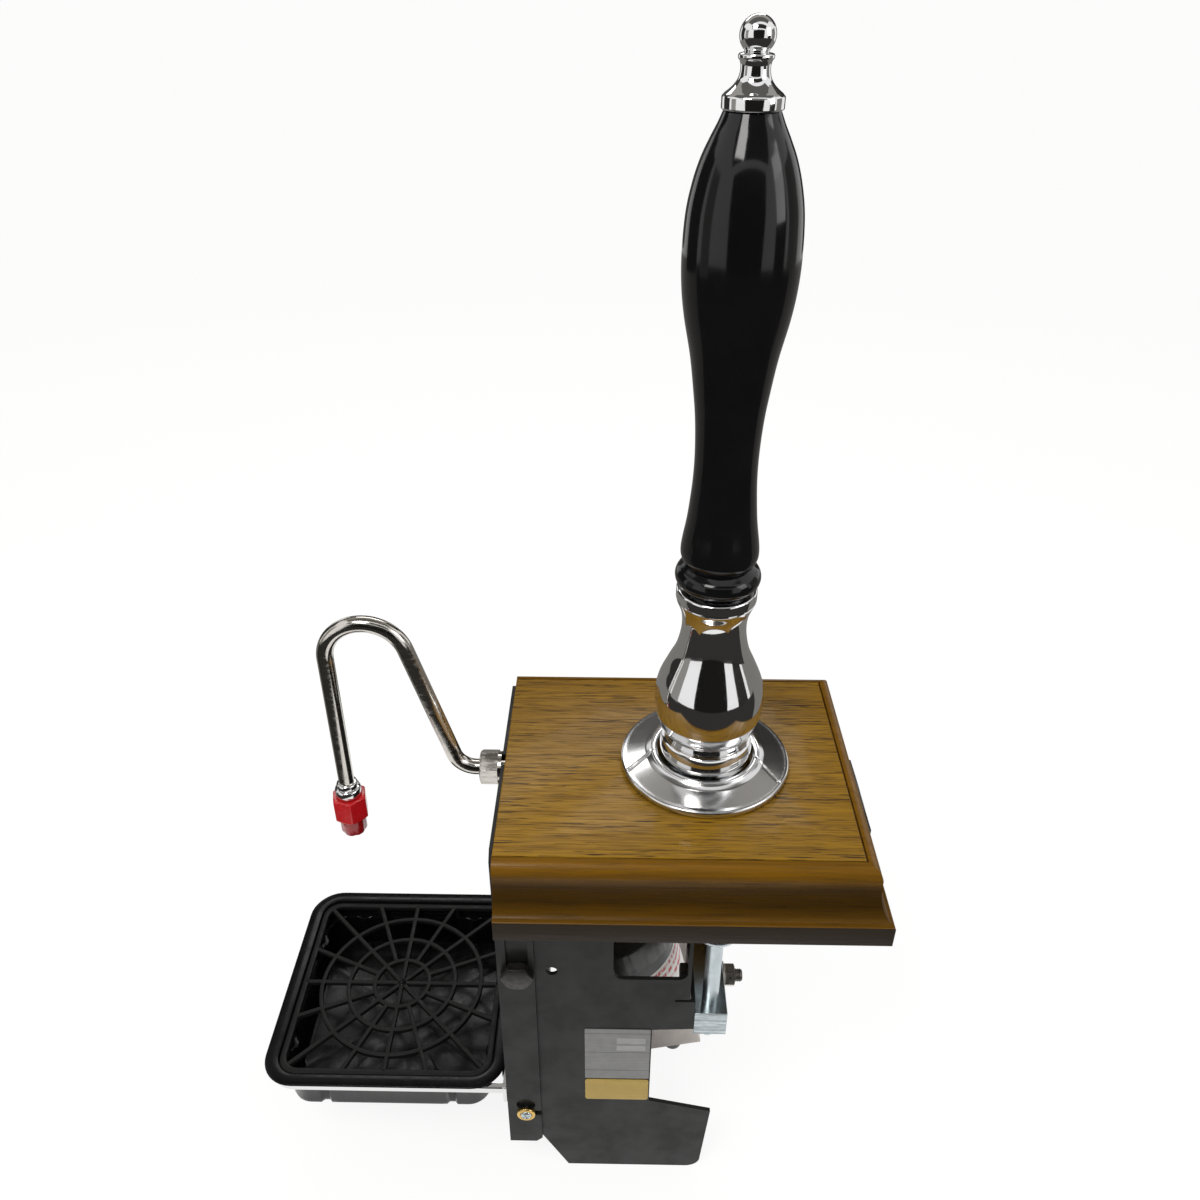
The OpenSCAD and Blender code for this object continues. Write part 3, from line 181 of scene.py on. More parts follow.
def thread(r, z0, z1, pitch=1.5, depth=0.4):
    """Outline of a threaded length."""
    out, z = [], z0
    while z + pitch <= z1:
        out += [(r - depth, z), (r, z + pitch * 0.4), (r, z + pitch * 0.6)]
        z += pitch
    return out + [(r - depth, z1)]


def held(value):
    """Value kept between 0 and 1."""
    return max(0.0, min(1.0, value))


def moved(shape, matrix):
    verts, faces = shape
    return [tuple(matrix @ Vector(v)) for v in verts], faces


def shifted(shape, x=0.0, y=0.0, z=0.0):
    return [(a + x, b + y, c + z) for a, b, c in shape[0]], shape[1]


def joined(*shapes):
    verts, faces = [], []
    for v, f in shapes:
        start = len(verts)
        verts += v
        faces += [tuple(i + start for i in face) for face in f]
    return verts, faces


def mirrored(shape):
    return [(x, -y, z) for x, y, z in shape[0]], [tuple(reversed(f)) for f in shape[1]]


def axis_x(x, y, z):
    """Stands a Z shape along +X at a place."""
    return Matrix.Translation((x, y, z)) @ Matrix.Rotation(math.pi / 2, 4, "Y")


def axis_y(x, y, z, side=1):
    """Stands a Z shape along +Y or -Y at a place."""
    return Matrix.Translation((x, y, z)) @ Matrix.Rotation(-side * math.pi / 2, 4, "X")


def cylinder_place():
    """Matrix of the pump cylinder: local Z runs up its axis."""
    c = CRANK[0] * math.cos(LEAN) + CRANK[1] * math.sin(LEAN) + AXIS_OFF
    foot = Matrix.Translation((c * math.cos(LEAN), 0, c * math.sin(LEAN)))
    return foot @ Matrix.Rotation(-LEAN, 4, "Y")


def round_square(half, r, side_points=60, corner_points=10, groove=0.0, at=42.5):
    """Points of a rounded square, its sides drawn in near the two grooves."""
    out = []
    for k in range(4):
        c, s = math.cos(math.radians(k * 90)), math.sin(math.radians(k * 90))
        flat = half - r
        for i in range(side_points + 1):
            v = -flat + 2 * flat * i / side_points
            d = min(abs(v - at), abs(v + at))
            pull = groove * held((3.4 - d) / 1.2)
            out.append(((half - pull) * c - v * s, (half - pull) * s + v * c))
        for i in range(1, corner_points):
            t = math.radians(90 * i / corner_points)
            x, y = flat + r * math.cos(t), flat + r * math.sin(t)
            out.append((x * c - y * s, x * s + y * c))
    return out


def piece(name, shape, looks, body, stands_for=(), edge=0.0, crease=32, parts=None):
    """Makes a mesh piece in metres, gives it its finish and lets it ride on a body."""
    name = name.replace(" ", "_")
    verts, faces = shape
    mesh = bpy.data.meshes.new(name)
    mesh.from_pydata([(x * MM, y * MM, z * MM) for x, y, z in verts], [], faces)
    for look in [looks] if isinstance(looks, str) else looks:
        mesh.materials.append(finish(look))
    if parts:
        for p in mesh.polygons:
            p.material_index = parts(p.center / MM, p.normal)
    bm = bmesh.new()
    bm.from_mesh(mesh)
    bmesh.ops.remove_doubles(bm, verts=bm.verts, dist=1e-6)
    bmesh.ops.recalc_face_normals(bm, faces=bm.faces)
    bm.to_mesh(mesh)
    bm.free()
    mesh.shade_smooth()
    mesh.set_sharp_from_angle(angle=math.radians(crease))
    obj = bpy.data.objects.new(name, mesh)
    bpy.context.scene.collection.objects.link(obj)
    if edge:
        bevel = obj.modifiers.new("Rounded edges", "BEVEL")
        bevel.width = edge * MM
        bevel.segments = 3
        bevel.limit_method = "ANGLE"
        bevel.angle_limit = math.radians(40)
        bevel.harden_normals = False
    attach(obj, body)
    if stands_for:
        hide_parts(*stands_for)


def dress(look, *nodes):
    """Gives CAD nodes a finish."""
    for n in nodes:
        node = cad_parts[n]
        if not node.data.materials:
            node.data.materials.append(finish(look))
        for s in node.material_slots:
            s.material = finish(look)


def sheet(loops, thick, edge=0.0):
    """Flat sheet in local XY from closed loops; inner loops are holes."""
    curve = bpy.data.curves.new("sheet", "CURVE")
    curve.dimensions = "2D"
    curve.fill_mode = "BOTH"
    curve.extrude = thick / 2 - edge
    curve.bevel_depth = edge
    curve.bevel_resolution = 2
    curve.offset = -edge
    for loop in loops:
        line = curve.splines.new("POLY")
        line.points.add(len(loop) - 1)
        for p, (x, y) in zip(line.points, loop):
            p.co = (x, y, 0, 1)
        line.use_cyclic_u = True
    obj = bpy.data.objects.new("sheet", curve)
    bpy.context.scene.collection.objects.link(obj)
    mesh = bpy.data.meshes.new_from_object(obj.evaluated_get(bpy.context.evaluated_depsgraph_get()))
    shape = [tuple(v.co) for v in mesh.vertices], [tuple(p.vertices) for p in mesh.polygons]
    bpy.data.objects.remove(obj)
    bpy.data.curves.remove(curve)
    bpy.data.meshes.remove(mesh)
    return shape


# ---------- finishes ----------


def filled(node, **values):
    """Node with its inputs set; an underscore stands for the space in an input's name."""
    for key, value in values.items():
        node.inputs[key.replace("_", " ")].default_value = value
    return node


class Finish:
    """A Principled material that is built up from procedural nodes."""

    def __init__(self, name, roughness, metallic=0.0, coat=0.0, specular=0.5):
        self.mat = bpy.data.materials.new(name)
        self.mat.use_nodes = True
        self.tree = self.mat.node_tree
        self.shader = filled(self.tree.nodes["Principled BSDF"], Metallic=metallic, Roughness=roughness,
                             Coat_Weight=coat, Coat_Roughness=0.06, Specular_IOR_Level=specular)

    def node(self, kind, **values):
        n = self.tree.nodes.new(kind)
        for k, v in values.items():
            setattr(n, k, v)
        return n

    def link(self, a, b):
        self.tree.links.new(a, b)

    def place(self, scale=(1, 1, 1), turn=(0, 0, 0)):
        """Object coordinates, stretched and turned."""
        where = self.node("ShaderNodeTexCoord")
        m = filled(self.node("ShaderNodeMapping"), Scale=scale, Rotation=turn)
        self.link(where.outputs["Object"], m.inputs["Vector"])
        return m.outputs["Vector"]

    def split(self, vector):
        """The X, Y and Z outputs of a vector."""
        parts = self.node("ShaderNodeSeparateXYZ")
        self.link(vector, parts.inputs["Vector"])
        return parts.outputs

    def noise(self, vector, scale, detail=4.0, roughness=0.55, distortion=0.0):
        n = filled(self.node("ShaderNodeTexNoise"), Scale=scale, Detail=detail, Roughness=roughness,
                   Distortion=distortion)
        self.link(vector, n.inputs["Vector"])
        return n.outputs["Fac"]

    def ramp(self, value, stops):
        """Colour from a value; stops are (place, colour)."""
        r = self.node("ShaderNodeValToRGB")
        while len(r.color_ramp.elements) < len(stops):
            r.color_ramp.elements.new(0.5)
        for e, (at, colour) in zip(r.color_ramp.elements, stops):
            e.position = at
            e.color = (*colour, 1)
        self.link(value, r.inputs["Fac"])
        return r.outputs["Color"]

    def scaled(self, value, low, high, a=0.35, b=0.65):
        """Maps the middle of a noise onto a range."""
        m = filled(self.node("ShaderNodeMapRange"), From_Min=a, From_Max=b, To_Min=low, To_Max=high)
        self.link(value, m.inputs["Value"])
        return m.outputs["Result"]

    def math(self, how, a, b):
        m = self.node("ShaderNodeMath", operation=how)
        for i, v in enumerate((a, b)):
            if isinstance(v, (int, float)):
                m.inputs[i].default_value = v
            else:
                self.link(v, m.inputs[i])
        return m.outputs["Value"]

    def near(self, value, target, reach):
        """1 where a value lies within reach of a target, else 0."""
        off = self.math("ABSOLUTE", self.math("SUBTRACT", value, target), 0)
        return self.math("LESS_THAN", off, reach)

    def chain(self, how, values):
        """One value from several, such as their product."""
        out = values[0]
        for v in values[1:]:
            out = self.math(how, out, v)
        return out

    def mix(self, fac, a, b, how="MIX"):
        m = self.node("ShaderNodeMix", data_type="RGBA", blend_type=how)
        if isinstance(fac, (int, float)):
            m.inputs[0].default_value = fac
        else:
            self.link(fac, m.inputs[0])
        for i, v in ((6, a), (7, b)):
            if isinstance(v, bpy.types.NodeSocket):
                self.link(v, m.inputs[i])
            else:
                m.inputs[i].default_value = (*v, 1)
        return m.outputs[2]

    def colour(self, socket):
        self.link(socket, self.shader.inputs["Base Color"])

    def roughness(self, socket):
        self.link(socket, self.shader.inputs["Roughness"])

    def bump(self, height, strength, distance):
        b = filled(self.node("ShaderNodeBump"), Strength=strength, Distance=distance)
        self.link(height, b.inputs["Height"])
        self.link(b.outputs["Normal"], self.shader.inputs["Normal"])


def tint(colour, k):
    """Colour made darker or lighter."""
    return tuple(min(1.0, c * k) for c in colour)


def plain_finish(name, colour, roughness, metallic=0.0, coat=0.0, tone=0.08, rough_var=0.25, size=60.0,
                 bump=0.1, bump_size=1400.0, specular=0.5, depth=0.0001):
    """One colour with slight cloudiness, uneven gloss and a fine texture."""
    f = Finish(name, roughness, metallic, coat, specular)
    where = f.place()
    cloud = f.noise(where, size)
    f.colour(f.ramp(cloud, [(0.3, tint(colour, 1 - tone)), (0.7, tint(colour, 1 + tone))]))
    smooth, dull = roughness * (1 - rough_var), min(1, roughness * (1 + rough_var))
    f.roughness(f.scaled(f.noise(where, size * 2.3), smooth, dull))
    f.bump(f.noise(where, bump_size, 3.0), bump, depth)
    return f.mat


def oak_finish(name, light, dark, pore, gloss, coat, pores, tone=1.0, paint_cove_shade=False, shine=0.3):
    """Stained open-pored oak, its grain along X, under lacquer; paint_cove_shade multiplies painted shade
    into a moulding's cove.
    """
    f = Finish(name, gloss, 0.0, coat, shine)
    long = f.place((1.0, 6.0, 6.0))
    waves = f.node("ShaderNodeTexWave", wave_type="RINGS", rings_direction="X", wave_profile="SIN")
    filled(waves, Scale=9.0, Distortion=5.0, Detail=3.0, Detail_Scale=0.8)
    f.link(f.place((0.8, 5.0, 5.0)), waves.inputs["Vector"])
    rings = f.scaled(waves.outputs["Fac"], 0.0, 0.34 * tone, 0.55, 1.0)
    broad = f.noise(long, 4.0, 3.0, 0.5, 0.8)
    base = f.mix(f.scaled(broad, 0.0, 0.5 * tone, 0.4, 0.72), light, dark)
    base = f.mix(rings, base, dark)
    fine = f.noise(f.place((16.0, 420.0, 420.0)), 1.5, 5.0, 0.65, 0.2)
    base = f.mix(f.scaled(fine, 0.0, 0.55 * tone, 0.42, 0.68), base, tint(dark, 0.8))
    streak = f.noise(f.place((50.0, 1800.0, 1800.0)), 1.0, 1.5, 0.5, 0.3)
    patch = f.scaled(f.noise(f.place((2.0, 14.0, 14.0)), 6.0, 3.0), 0.25, 1.0)
    open_pore = f.chain("MULTIPLY", [f.scaled(streak, 0.0, 1.0, 0.56, 0.63), patch, pores])
    wood = f.mix(open_pore, base, pore)
    # Painted shade: the moulding's colour is darkened by height, most across the cove and below the bead,
    # standing in for shade.
    if paint_cove_shade:
        up = f.scaled(f.split(f.place())["Z"], 0.0, 1.0, 0.0, 0.05)
        painted_shade_levels = ((0.0, 0.8), (0.28, 0.8), (0.34, 0.5), (0.46, 0.26), (0.68, 0.26), (0.80, 0.68), (0.92, 1.0))
        wood = f.mix(1.0, wood, f.ramp(up, [(at, (k, k, k)) for at, k in painted_shade_levels]), "MULTIPLY")
    f.colour(wood)
    f.roughness(f.scaled(fine, gloss * 0.8, gloss * 1.35))
    height = f.math("SUBTRACT", f.math("MULTIPLY", fine, 0.5), open_pore)
    f.bump(height, 0.5, 0.00025)
    return f.mat


def chrome_finish(name, colour, roughness=0.05, low=0.6, high=1.9):
    """Polished plate with faint waves and wipe marks."""
    f = Finish(name, roughness, 1.0)
    where = f.place()
    f.colour(f.ramp(f.noise(where, 38.0), [(0.3, tint(colour, 0.96)), (0.7, colour)]))
    f.roughness(f.scaled(f.noise(f.place((1, 1, 4)), 140.0, 6.0), roughness * low, roughness * high))
    f.bump(f.noise(where, 55.0, 2.0), 0.05, 0.0004)
    return f.mat


def zinc_finish(name, colour, roughness, lines=None):
    """Metal with faint clouds, or, where lines gives their scale, with saw or turning marks."""
    f = Finish(name, roughness, 1.0)
    where = f.place()
    f.roughness(f.scaled(f.noise(where, 300.0, 4.0), roughness * 0.85, roughness * 1.2))
    if lines:
        marks = f.noise(f.place(lines), 1.0, 3.0, 0.6, 0.1)
        f.colour(f.ramp(marks, [(0.36, tint(colour, 0.6)), (0.5, colour), (0.62, tint(colour, 1.3))]))
        f.bump(marks, 0.5, 0.0005)
    else:
        cloud = f.noise(where, 60.0)
        f.colour(f.ramp(cloud, [(0.3, tint(colour, 0.9)), (0.7, tint(colour, 1.06))]))
        f.bump(f.noise(where, 500.0, 3.0), 0.08, 0.0001)
    return f.mat


def sheet_metal_finish(name, colour, roughness=0.42):
    """Satin coat on sheet: fine orange peel, faint clouds and rub marks."""
    f = Finish(name, roughness, 0.0, 0.03, 0.22)
    where = f.place()
    cloud = f.noise(where, 22.0, 5.0, 0.6)
    base = f.ramp(cloud, [(0.3, tint(colour, 0.9)), (0.7, tint(colour, 1.12))])
    rub = f.scaled(f.noise(f.place((1, 1, 5), (0, 0.3, 0)), 90.0, 5.0, 0.7), 0.0, 0.10, 0.6, 0.78)
    f.colour(f.mix(rub, base, tint(colour, 2.0)))
    f.roughness(f.scaled(f.noise(where, 60.0, 5.0), roughness * 0.8, roughness * 1.25))
    f.bump(f.noise(where, 1500.0, 3.0), 0.12, 0.00012)
    return f.mat


def band_finish(name, colour, ink, edge):
    """Printed film round the cylinder: rows of red dashes below a border in the cap's colour."""
    row_heights, row_half, border = (-0.0930, -0.0990, -0.1060), 0.0016, -0.0888  # in metres
    f = Finish(name, 0.38, 0.0, 0.1)
    where = f.place((1, 1, 1), (0, LEAN, 0))
    height = f.split(where)["Z"]
    base = f.ramp(f.noise(where, 50.0), [(0.3, tint(colour, 0.95)), (0.7, colour)])
    dash = f.scaled(f.noise(f.place((520.0, 520.0, 1.0), (0, LEAN, 0)), 1.0, 1.0), 0.2, 1.0, 0.42, 0.5)
    rows = f.chain("MAXIMUM", [f.near(height, z, row_half) for z in row_heights])
    printed = f.mix(f.math("MULTIPLY", rows, dash), base, ink)
    f.colour(f.mix(f.math("GREATER_THAN", height, border), printed, edge))
    f.roughness(f.scaled(f.noise(where, 140.0), 0.3, 0.45))
    f.bump(f.noise(where, 600.0), 0.08, 0.0001)
    return f.mat


def tag_finish(name, colour, roughness, ink, rules=(), fields=()):
    """Thin metal tag with ruled lines at heights and blank (x0, x1, z0, z1) fields, in millimetres."""
    line_half = 0.22 * MM
    f = Finish(name, roughness, 0.55)
    where = f.place()
    axes = f.split(where)
    streak = f.noise(f.place((6, 1, 260)), 3.0, 5.0)
    base = f.ramp(streak, [(0.3, tint(colour, 0.9)), (0.7, tint(colour, 1.06))])
    for x0, x1, z0, z1 in fields:
        limits = (("X", "GREATER_THAN", x0), ("X", "LESS_THAN", x1),
                  ("Z", "GREATER_THAN", z0), ("Z", "LESS_THAN", z1))
        inside = f.chain("MULTIPLY", [f.math(how, axes[axis], v * MM) for axis, how, v in limits])
        base = f.mix(inside, base, tint(colour, 1.45))
    if rules:
        lines = f.chain("MAXIMUM", [f.near(axes["Z"], z * MM, line_half) for z in rules])
        base = f.mix(f.math("MULTIPLY", lines, 0.8), base, ink)
    f.colour(base)
    f.roughness(f.scaled(f.noise(where, 200.0), roughness * 0.8, roughness * 1.2))
    f.bump(f.noise(f.place((30, 1, 900)), 1.0, 4.0), 0.15, 0.0001)
    return f.mat


FINISHES = {}


def finish(name):
    """Each finish is made once, on first use."""
    if name in FINISHES:
        return FINISHES[name]
    w = bpy.context.scene.pump_wood
    m = bpy.context.scene.pump_metal
    p = bpy.context.scene.pump_plastic
    red = dict(coat=0.25, tone=0.12, rough_var=0.3, size=90, bump=0.08, bump_size=600)
    makers = {
        "Oak top": (oak_finish, w.top_colour, w.grain_colour, w.pore_colour, w.gloss,
                    dict(coat=0.06, pores=1.3, shine=0.22)),
        # The moulding carries painted shade in its cove.
        "Oak moulding": (oak_finish, w.moulding_colour, tint(w.moulding_colour, 0.5), w.pore_colour, 0.28,
                         dict(coat=0.05, pores=0.3, tone=0.8, paint_cove_shade=True, shine=0.16)),
        # The foot's dark colour is partly a darker stain and partly painted shade of its upright face.
        "Stained foot": (oak_finish, w.foot_colour, tint(w.foot_colour, 0.7), tint(w.foot_colour, 0.45), 0.5,
                         dict(coat=0.05, pores=0.3, tone=0.5)),
        "Chrome": (chrome_finish, m.chrome_colour, {}),
        "Rosette plate": (chrome_finish, tint(m.chrome_colour, 0.88), 0.17, dict(low=0.94, high=1.06)),
        "Nickel tube": (chrome_finish, m.nickel_colour, 0.12, {}),
        "Zinc": (zinc_finish, m.zinc_colour, 0.26, {}),
        "Zinc thread": (zinc_finish, tint(m.zinc_colour, 1.15), 0.36, {}),
        "Bar zinc": (zinc_finish, tint(m.zinc_colour, 0.85), 0.16, {}),
        "Nut zinc": (zinc_finish, m.nut_colour, 0.3, {}),
        "Sawn zinc": (zinc_finish, m.zinc_colour, 0.45, dict(lines=(40.0, 20.0, 560.0))),
        "Bolt zinc": (zinc_finish, tint(m.dark_zinc_colour, 0.5), 0.45, {}),
        "Dark zinc": (zinc_finish, m.dark_zinc_colour, 0.4, {}),
        "Turned steel": (zinc_finish, m.steel_colour, 0.25, dict(lines=(200.0, 200.0, 3000.0))),
        "Brass": (plain_finish, m.brass_colour, 0.24, dict(metallic=1.0, tone=0.1)),
        "Cast alloy": (plain_finish, m.alloy_colour, 0.5,
                       dict(metallic=0.3, rough_var=0.2, size=80, bump=0.3, bump_size=700)),
        "Grey sheet": (sheet_metal_finish, m.sheet_colour, {}),
        "Black paint": (plain_finish, p.black_colour, 0.3,
                        dict(coat=0.3, tone=0.3, rough_var=0.3, bump=0.12)),
        "Grip black": (plain_finish, p.black_colour, 0.12,
                       dict(coat=0.15, tone=0.2, rough_var=0.35, size=30, bump=0.03, bump_size=500,
                            specular=0.3)),
        "Tray black": (plain_finish, p.tray_colour, 0.22,
                       dict(tone=0.15, rough_var=0.3, size=45, bump=0.06, bump_size=380,
                            specular=0.22, depth=0.0002)),
        "Grid black": (plain_finish, p.grid_colour, 0.45,
                       dict(tone=0.15, rough_var=0.2, size=70, bump=0.2, bump_size=1800, specular=0.25)),
        "Red plastic": (plain_finish, p.red_colour, 0.24, red),
        "Dark red plastic": (plain_finish, tint(p.red_colour, 0.62), 0.27, red),
        "Cap grey": (plain_finish, p.cap_colour, 0.4,
                     dict(coat=0.1, tone=0.1, rough_var=0.2, size=50, bump=0.2, bump_size=900)),
        "Printed band": (band_finish, p.band_colour, dict(ink=(0.5, 0.03, 0.03), edge=p.cap_colour)),
        "Milky tube": (plain_finish, p.tube_colour, 0.3,
                       dict(coat=0.1, tone=0.05, rough_var=0.2, bump=0.08, bump_size=700)),
        "Piston white": (plain_finish, p.band_colour, 0.35, dict(tone=0.05, rough_var=0.2, bump_size=900)),
        "Rubber": (plain_finish, p.black_colour, 0.7,
                   dict(tone=0.2, rough_var=0.15, size=90, bump=0.3, bump_size=900)),
        "Silver tag": (tag_finish, m.tag_colour, 0.38,
                       dict(ink=(0.05, 0.05, 0.05), rules=(-109.3, -128.4, -147.2),
                            fields=((-100.5, -82.5, -119.5, -114.0), (-100.5, -82.5, -126.5, -121.5)))),
        "Gold tag": (tag_finish, m.gold_colour, 0.34, dict(ink=(0.1, 0.07, 0.02))),
    }
    maker, *given, options = makers[name]
    FINISHES[name] = maker(name, *given, **options)
    return FINISHES[name]


# ---------- settings ----------


def colour_prop(name, text, value):
    return bpy.props.FloatVectorProperty(name=name, description=text, subtype="COLOR", size=3, min=0, max=1,
                                         default=value)


class PumpWoodSettings(bpy.types.PropertyGroup):
    """Woodwork of the casing"""

    top_colour: colour_prop("Top", "Light wood of the board", (0.300, 0.160, 0.010))
    grain_colour: colour_prop("Grain", "Darker rings in the board", (0.150, 0.070, 0.004))
    pore_colour: colour_prop("Pores", "Stain held in the open pores", (0.030, 0.013, 0.005))
    # Foot colour: partly a darker stain, partly painted shade of the upright foot.
    moulding_colour: colour_prop("Moulding", "Wood of the mouldings", (0.195, 0.088, 0.003))
    foot_colour: colour_prop("Foot", "Stained foot of the mouldings", (0.028, 0.019, 0.011))
    gloss: bpy.props.FloatProperty(name="Lacquer roughness", description="Roughness of the lacquered board",
                                   subtype="FACTOR", min=0, max=1, default=0.30)
    edge: bpy.props.FloatProperty(name="Edge", description="Rounding of the board's edges, in millimetres",
                                  min=0.1, max=2, default=0.7)


class PumpMetalSettings(bpy.types.PropertyGroup):
    """Metal parts"""

    chrome_colour: colour_prop("Chrome", "Polished plate", (0.80, 0.80, 0.80))
    nickel_colour: colour_prop("Nickel", "Plate of the swan neck", (0.66, 0.63, 0.58))
    zinc_colour: colour_prop("Zinc", "Bright zinc plate", (0.56, 0.62, 0.64))
    nut_colour: colour_prop("Nut", "Zinc plate of the nuts", (0.80, 0.75, 0.68))
    dark_zinc_colour: colour_prop("Dark zinc", "Dull zinc plate", (0.16, 0.15, 0.14))
    steel_colour: colour_prop("Steel", "Turned steel", (0.52, 0.52, 0.51))
    brass_colour: colour_prop("Brass", "Turned brass", (0.72, 0.48, 0.16))
    alloy_colour: colour_prop("Alloy", "Cast foot of the cylinder", (0.72, 0.67, 0.63))
    sheet_colour: colour_prop("Sheet", "Coat of the frame's plates", (0.0120, 0.0120, 0.0115))
    tag_colour: colour_prop("Tag", "Silver tag", (0.215, 0.215, 0.210))
    gold_colour: colour_prop("Gold tag", "Gold tag", (0.42, 0.29, 0.07))


class PumpPlasticSettings(bpy.types.PropertyGroup):
    """Plastic parts"""

    black_colour: colour_prop("Black", "Grip and black bead", (0.0045, 0.0045, 0.005))
    tray_colour: colour_prop("Tray", "Drip tray", (0.0035, 0.0035, 0.0040))
    grid_colour: colour_prop("Grid", "Grid over the tray", (0.0085, 0.0085, 0.0085))
    red_colour: colour_prop("Red", "Sparkler", (0.50, 0.006, 0.010))
    cap_colour: colour_prop("Cap", "Cap of the cylinder", (0.05, 0.05, 0.048))
    band_colour: colour_prop("Band", "Film round the cylinder", (0.78, 0.76, 0.73))
    tube_colour: colour_prop("Tube", "Cylinder and hose", (0.55, 0.56, 0.54))


class PumpStageSettings(bpy.types.PropertyGroup):
    """Camera, lamps and floor"""

    camera_at: bpy.props.FloatVectorProperty(name="Camera", description="Camera's place", size=3,
                                             subtype="TRANSLATION", unit="LENGTH",
                                             default=(-0.10563, -0.46488, 0.45565))
    pitch: bpy.props.FloatProperty(name="Pitch", description="Camera's tilt below level", subtype="ANGLE",
                                   default=math.radians(32.365))
    yaw: bpy.props.FloatProperty(name="Yaw", description="Camera's turn to the left", subtype="ANGLE",
                                 default=math.radians(0.945))
    lens: bpy.props.FloatProperty(name="Lens", description="Focal length on a 36 mm sensor, in millimetres",
                                  min=10, max=200, default=30.456)
    key: bpy.props.FloatProperty(name="Key", description="Power of the main lamp, in watts",
                                 min=0, max=200, default=9)
    fill: bpy.props.FloatProperty(name="Fill", description="Power of the side and back lamps, in watts",
                                  min=0, max=200, default=4)
    air: bpy.props.FloatProperty(name="Surround", description="Light from all round",
                                 min=0, max=2, default=0.62)


# ---------- operators ----------


def seen_by(tree, *rays):
    """1 for the named kinds of ray, else 0."""
    path = tree.nodes.new("ShaderNodeLightPath")
    seen = path.outputs[rays[0]]
    for ray in rays[1:]:
        m = tree.nodes.new("ShaderNodeMath")
        m.operation = "MAXIMUM"
        tree.links.new(seen, m.inputs[0])
        tree.links.new(path.outputs[ray], m.inputs[1])
        seen = m.outputs[0]
    return seen


def aimed(place, aim, forward):
    """Turn that points an object's forward axis at an aim."""
    return (Vector(aim) - Vector(place)).to_track_quat(forward, "Y").to_euler()


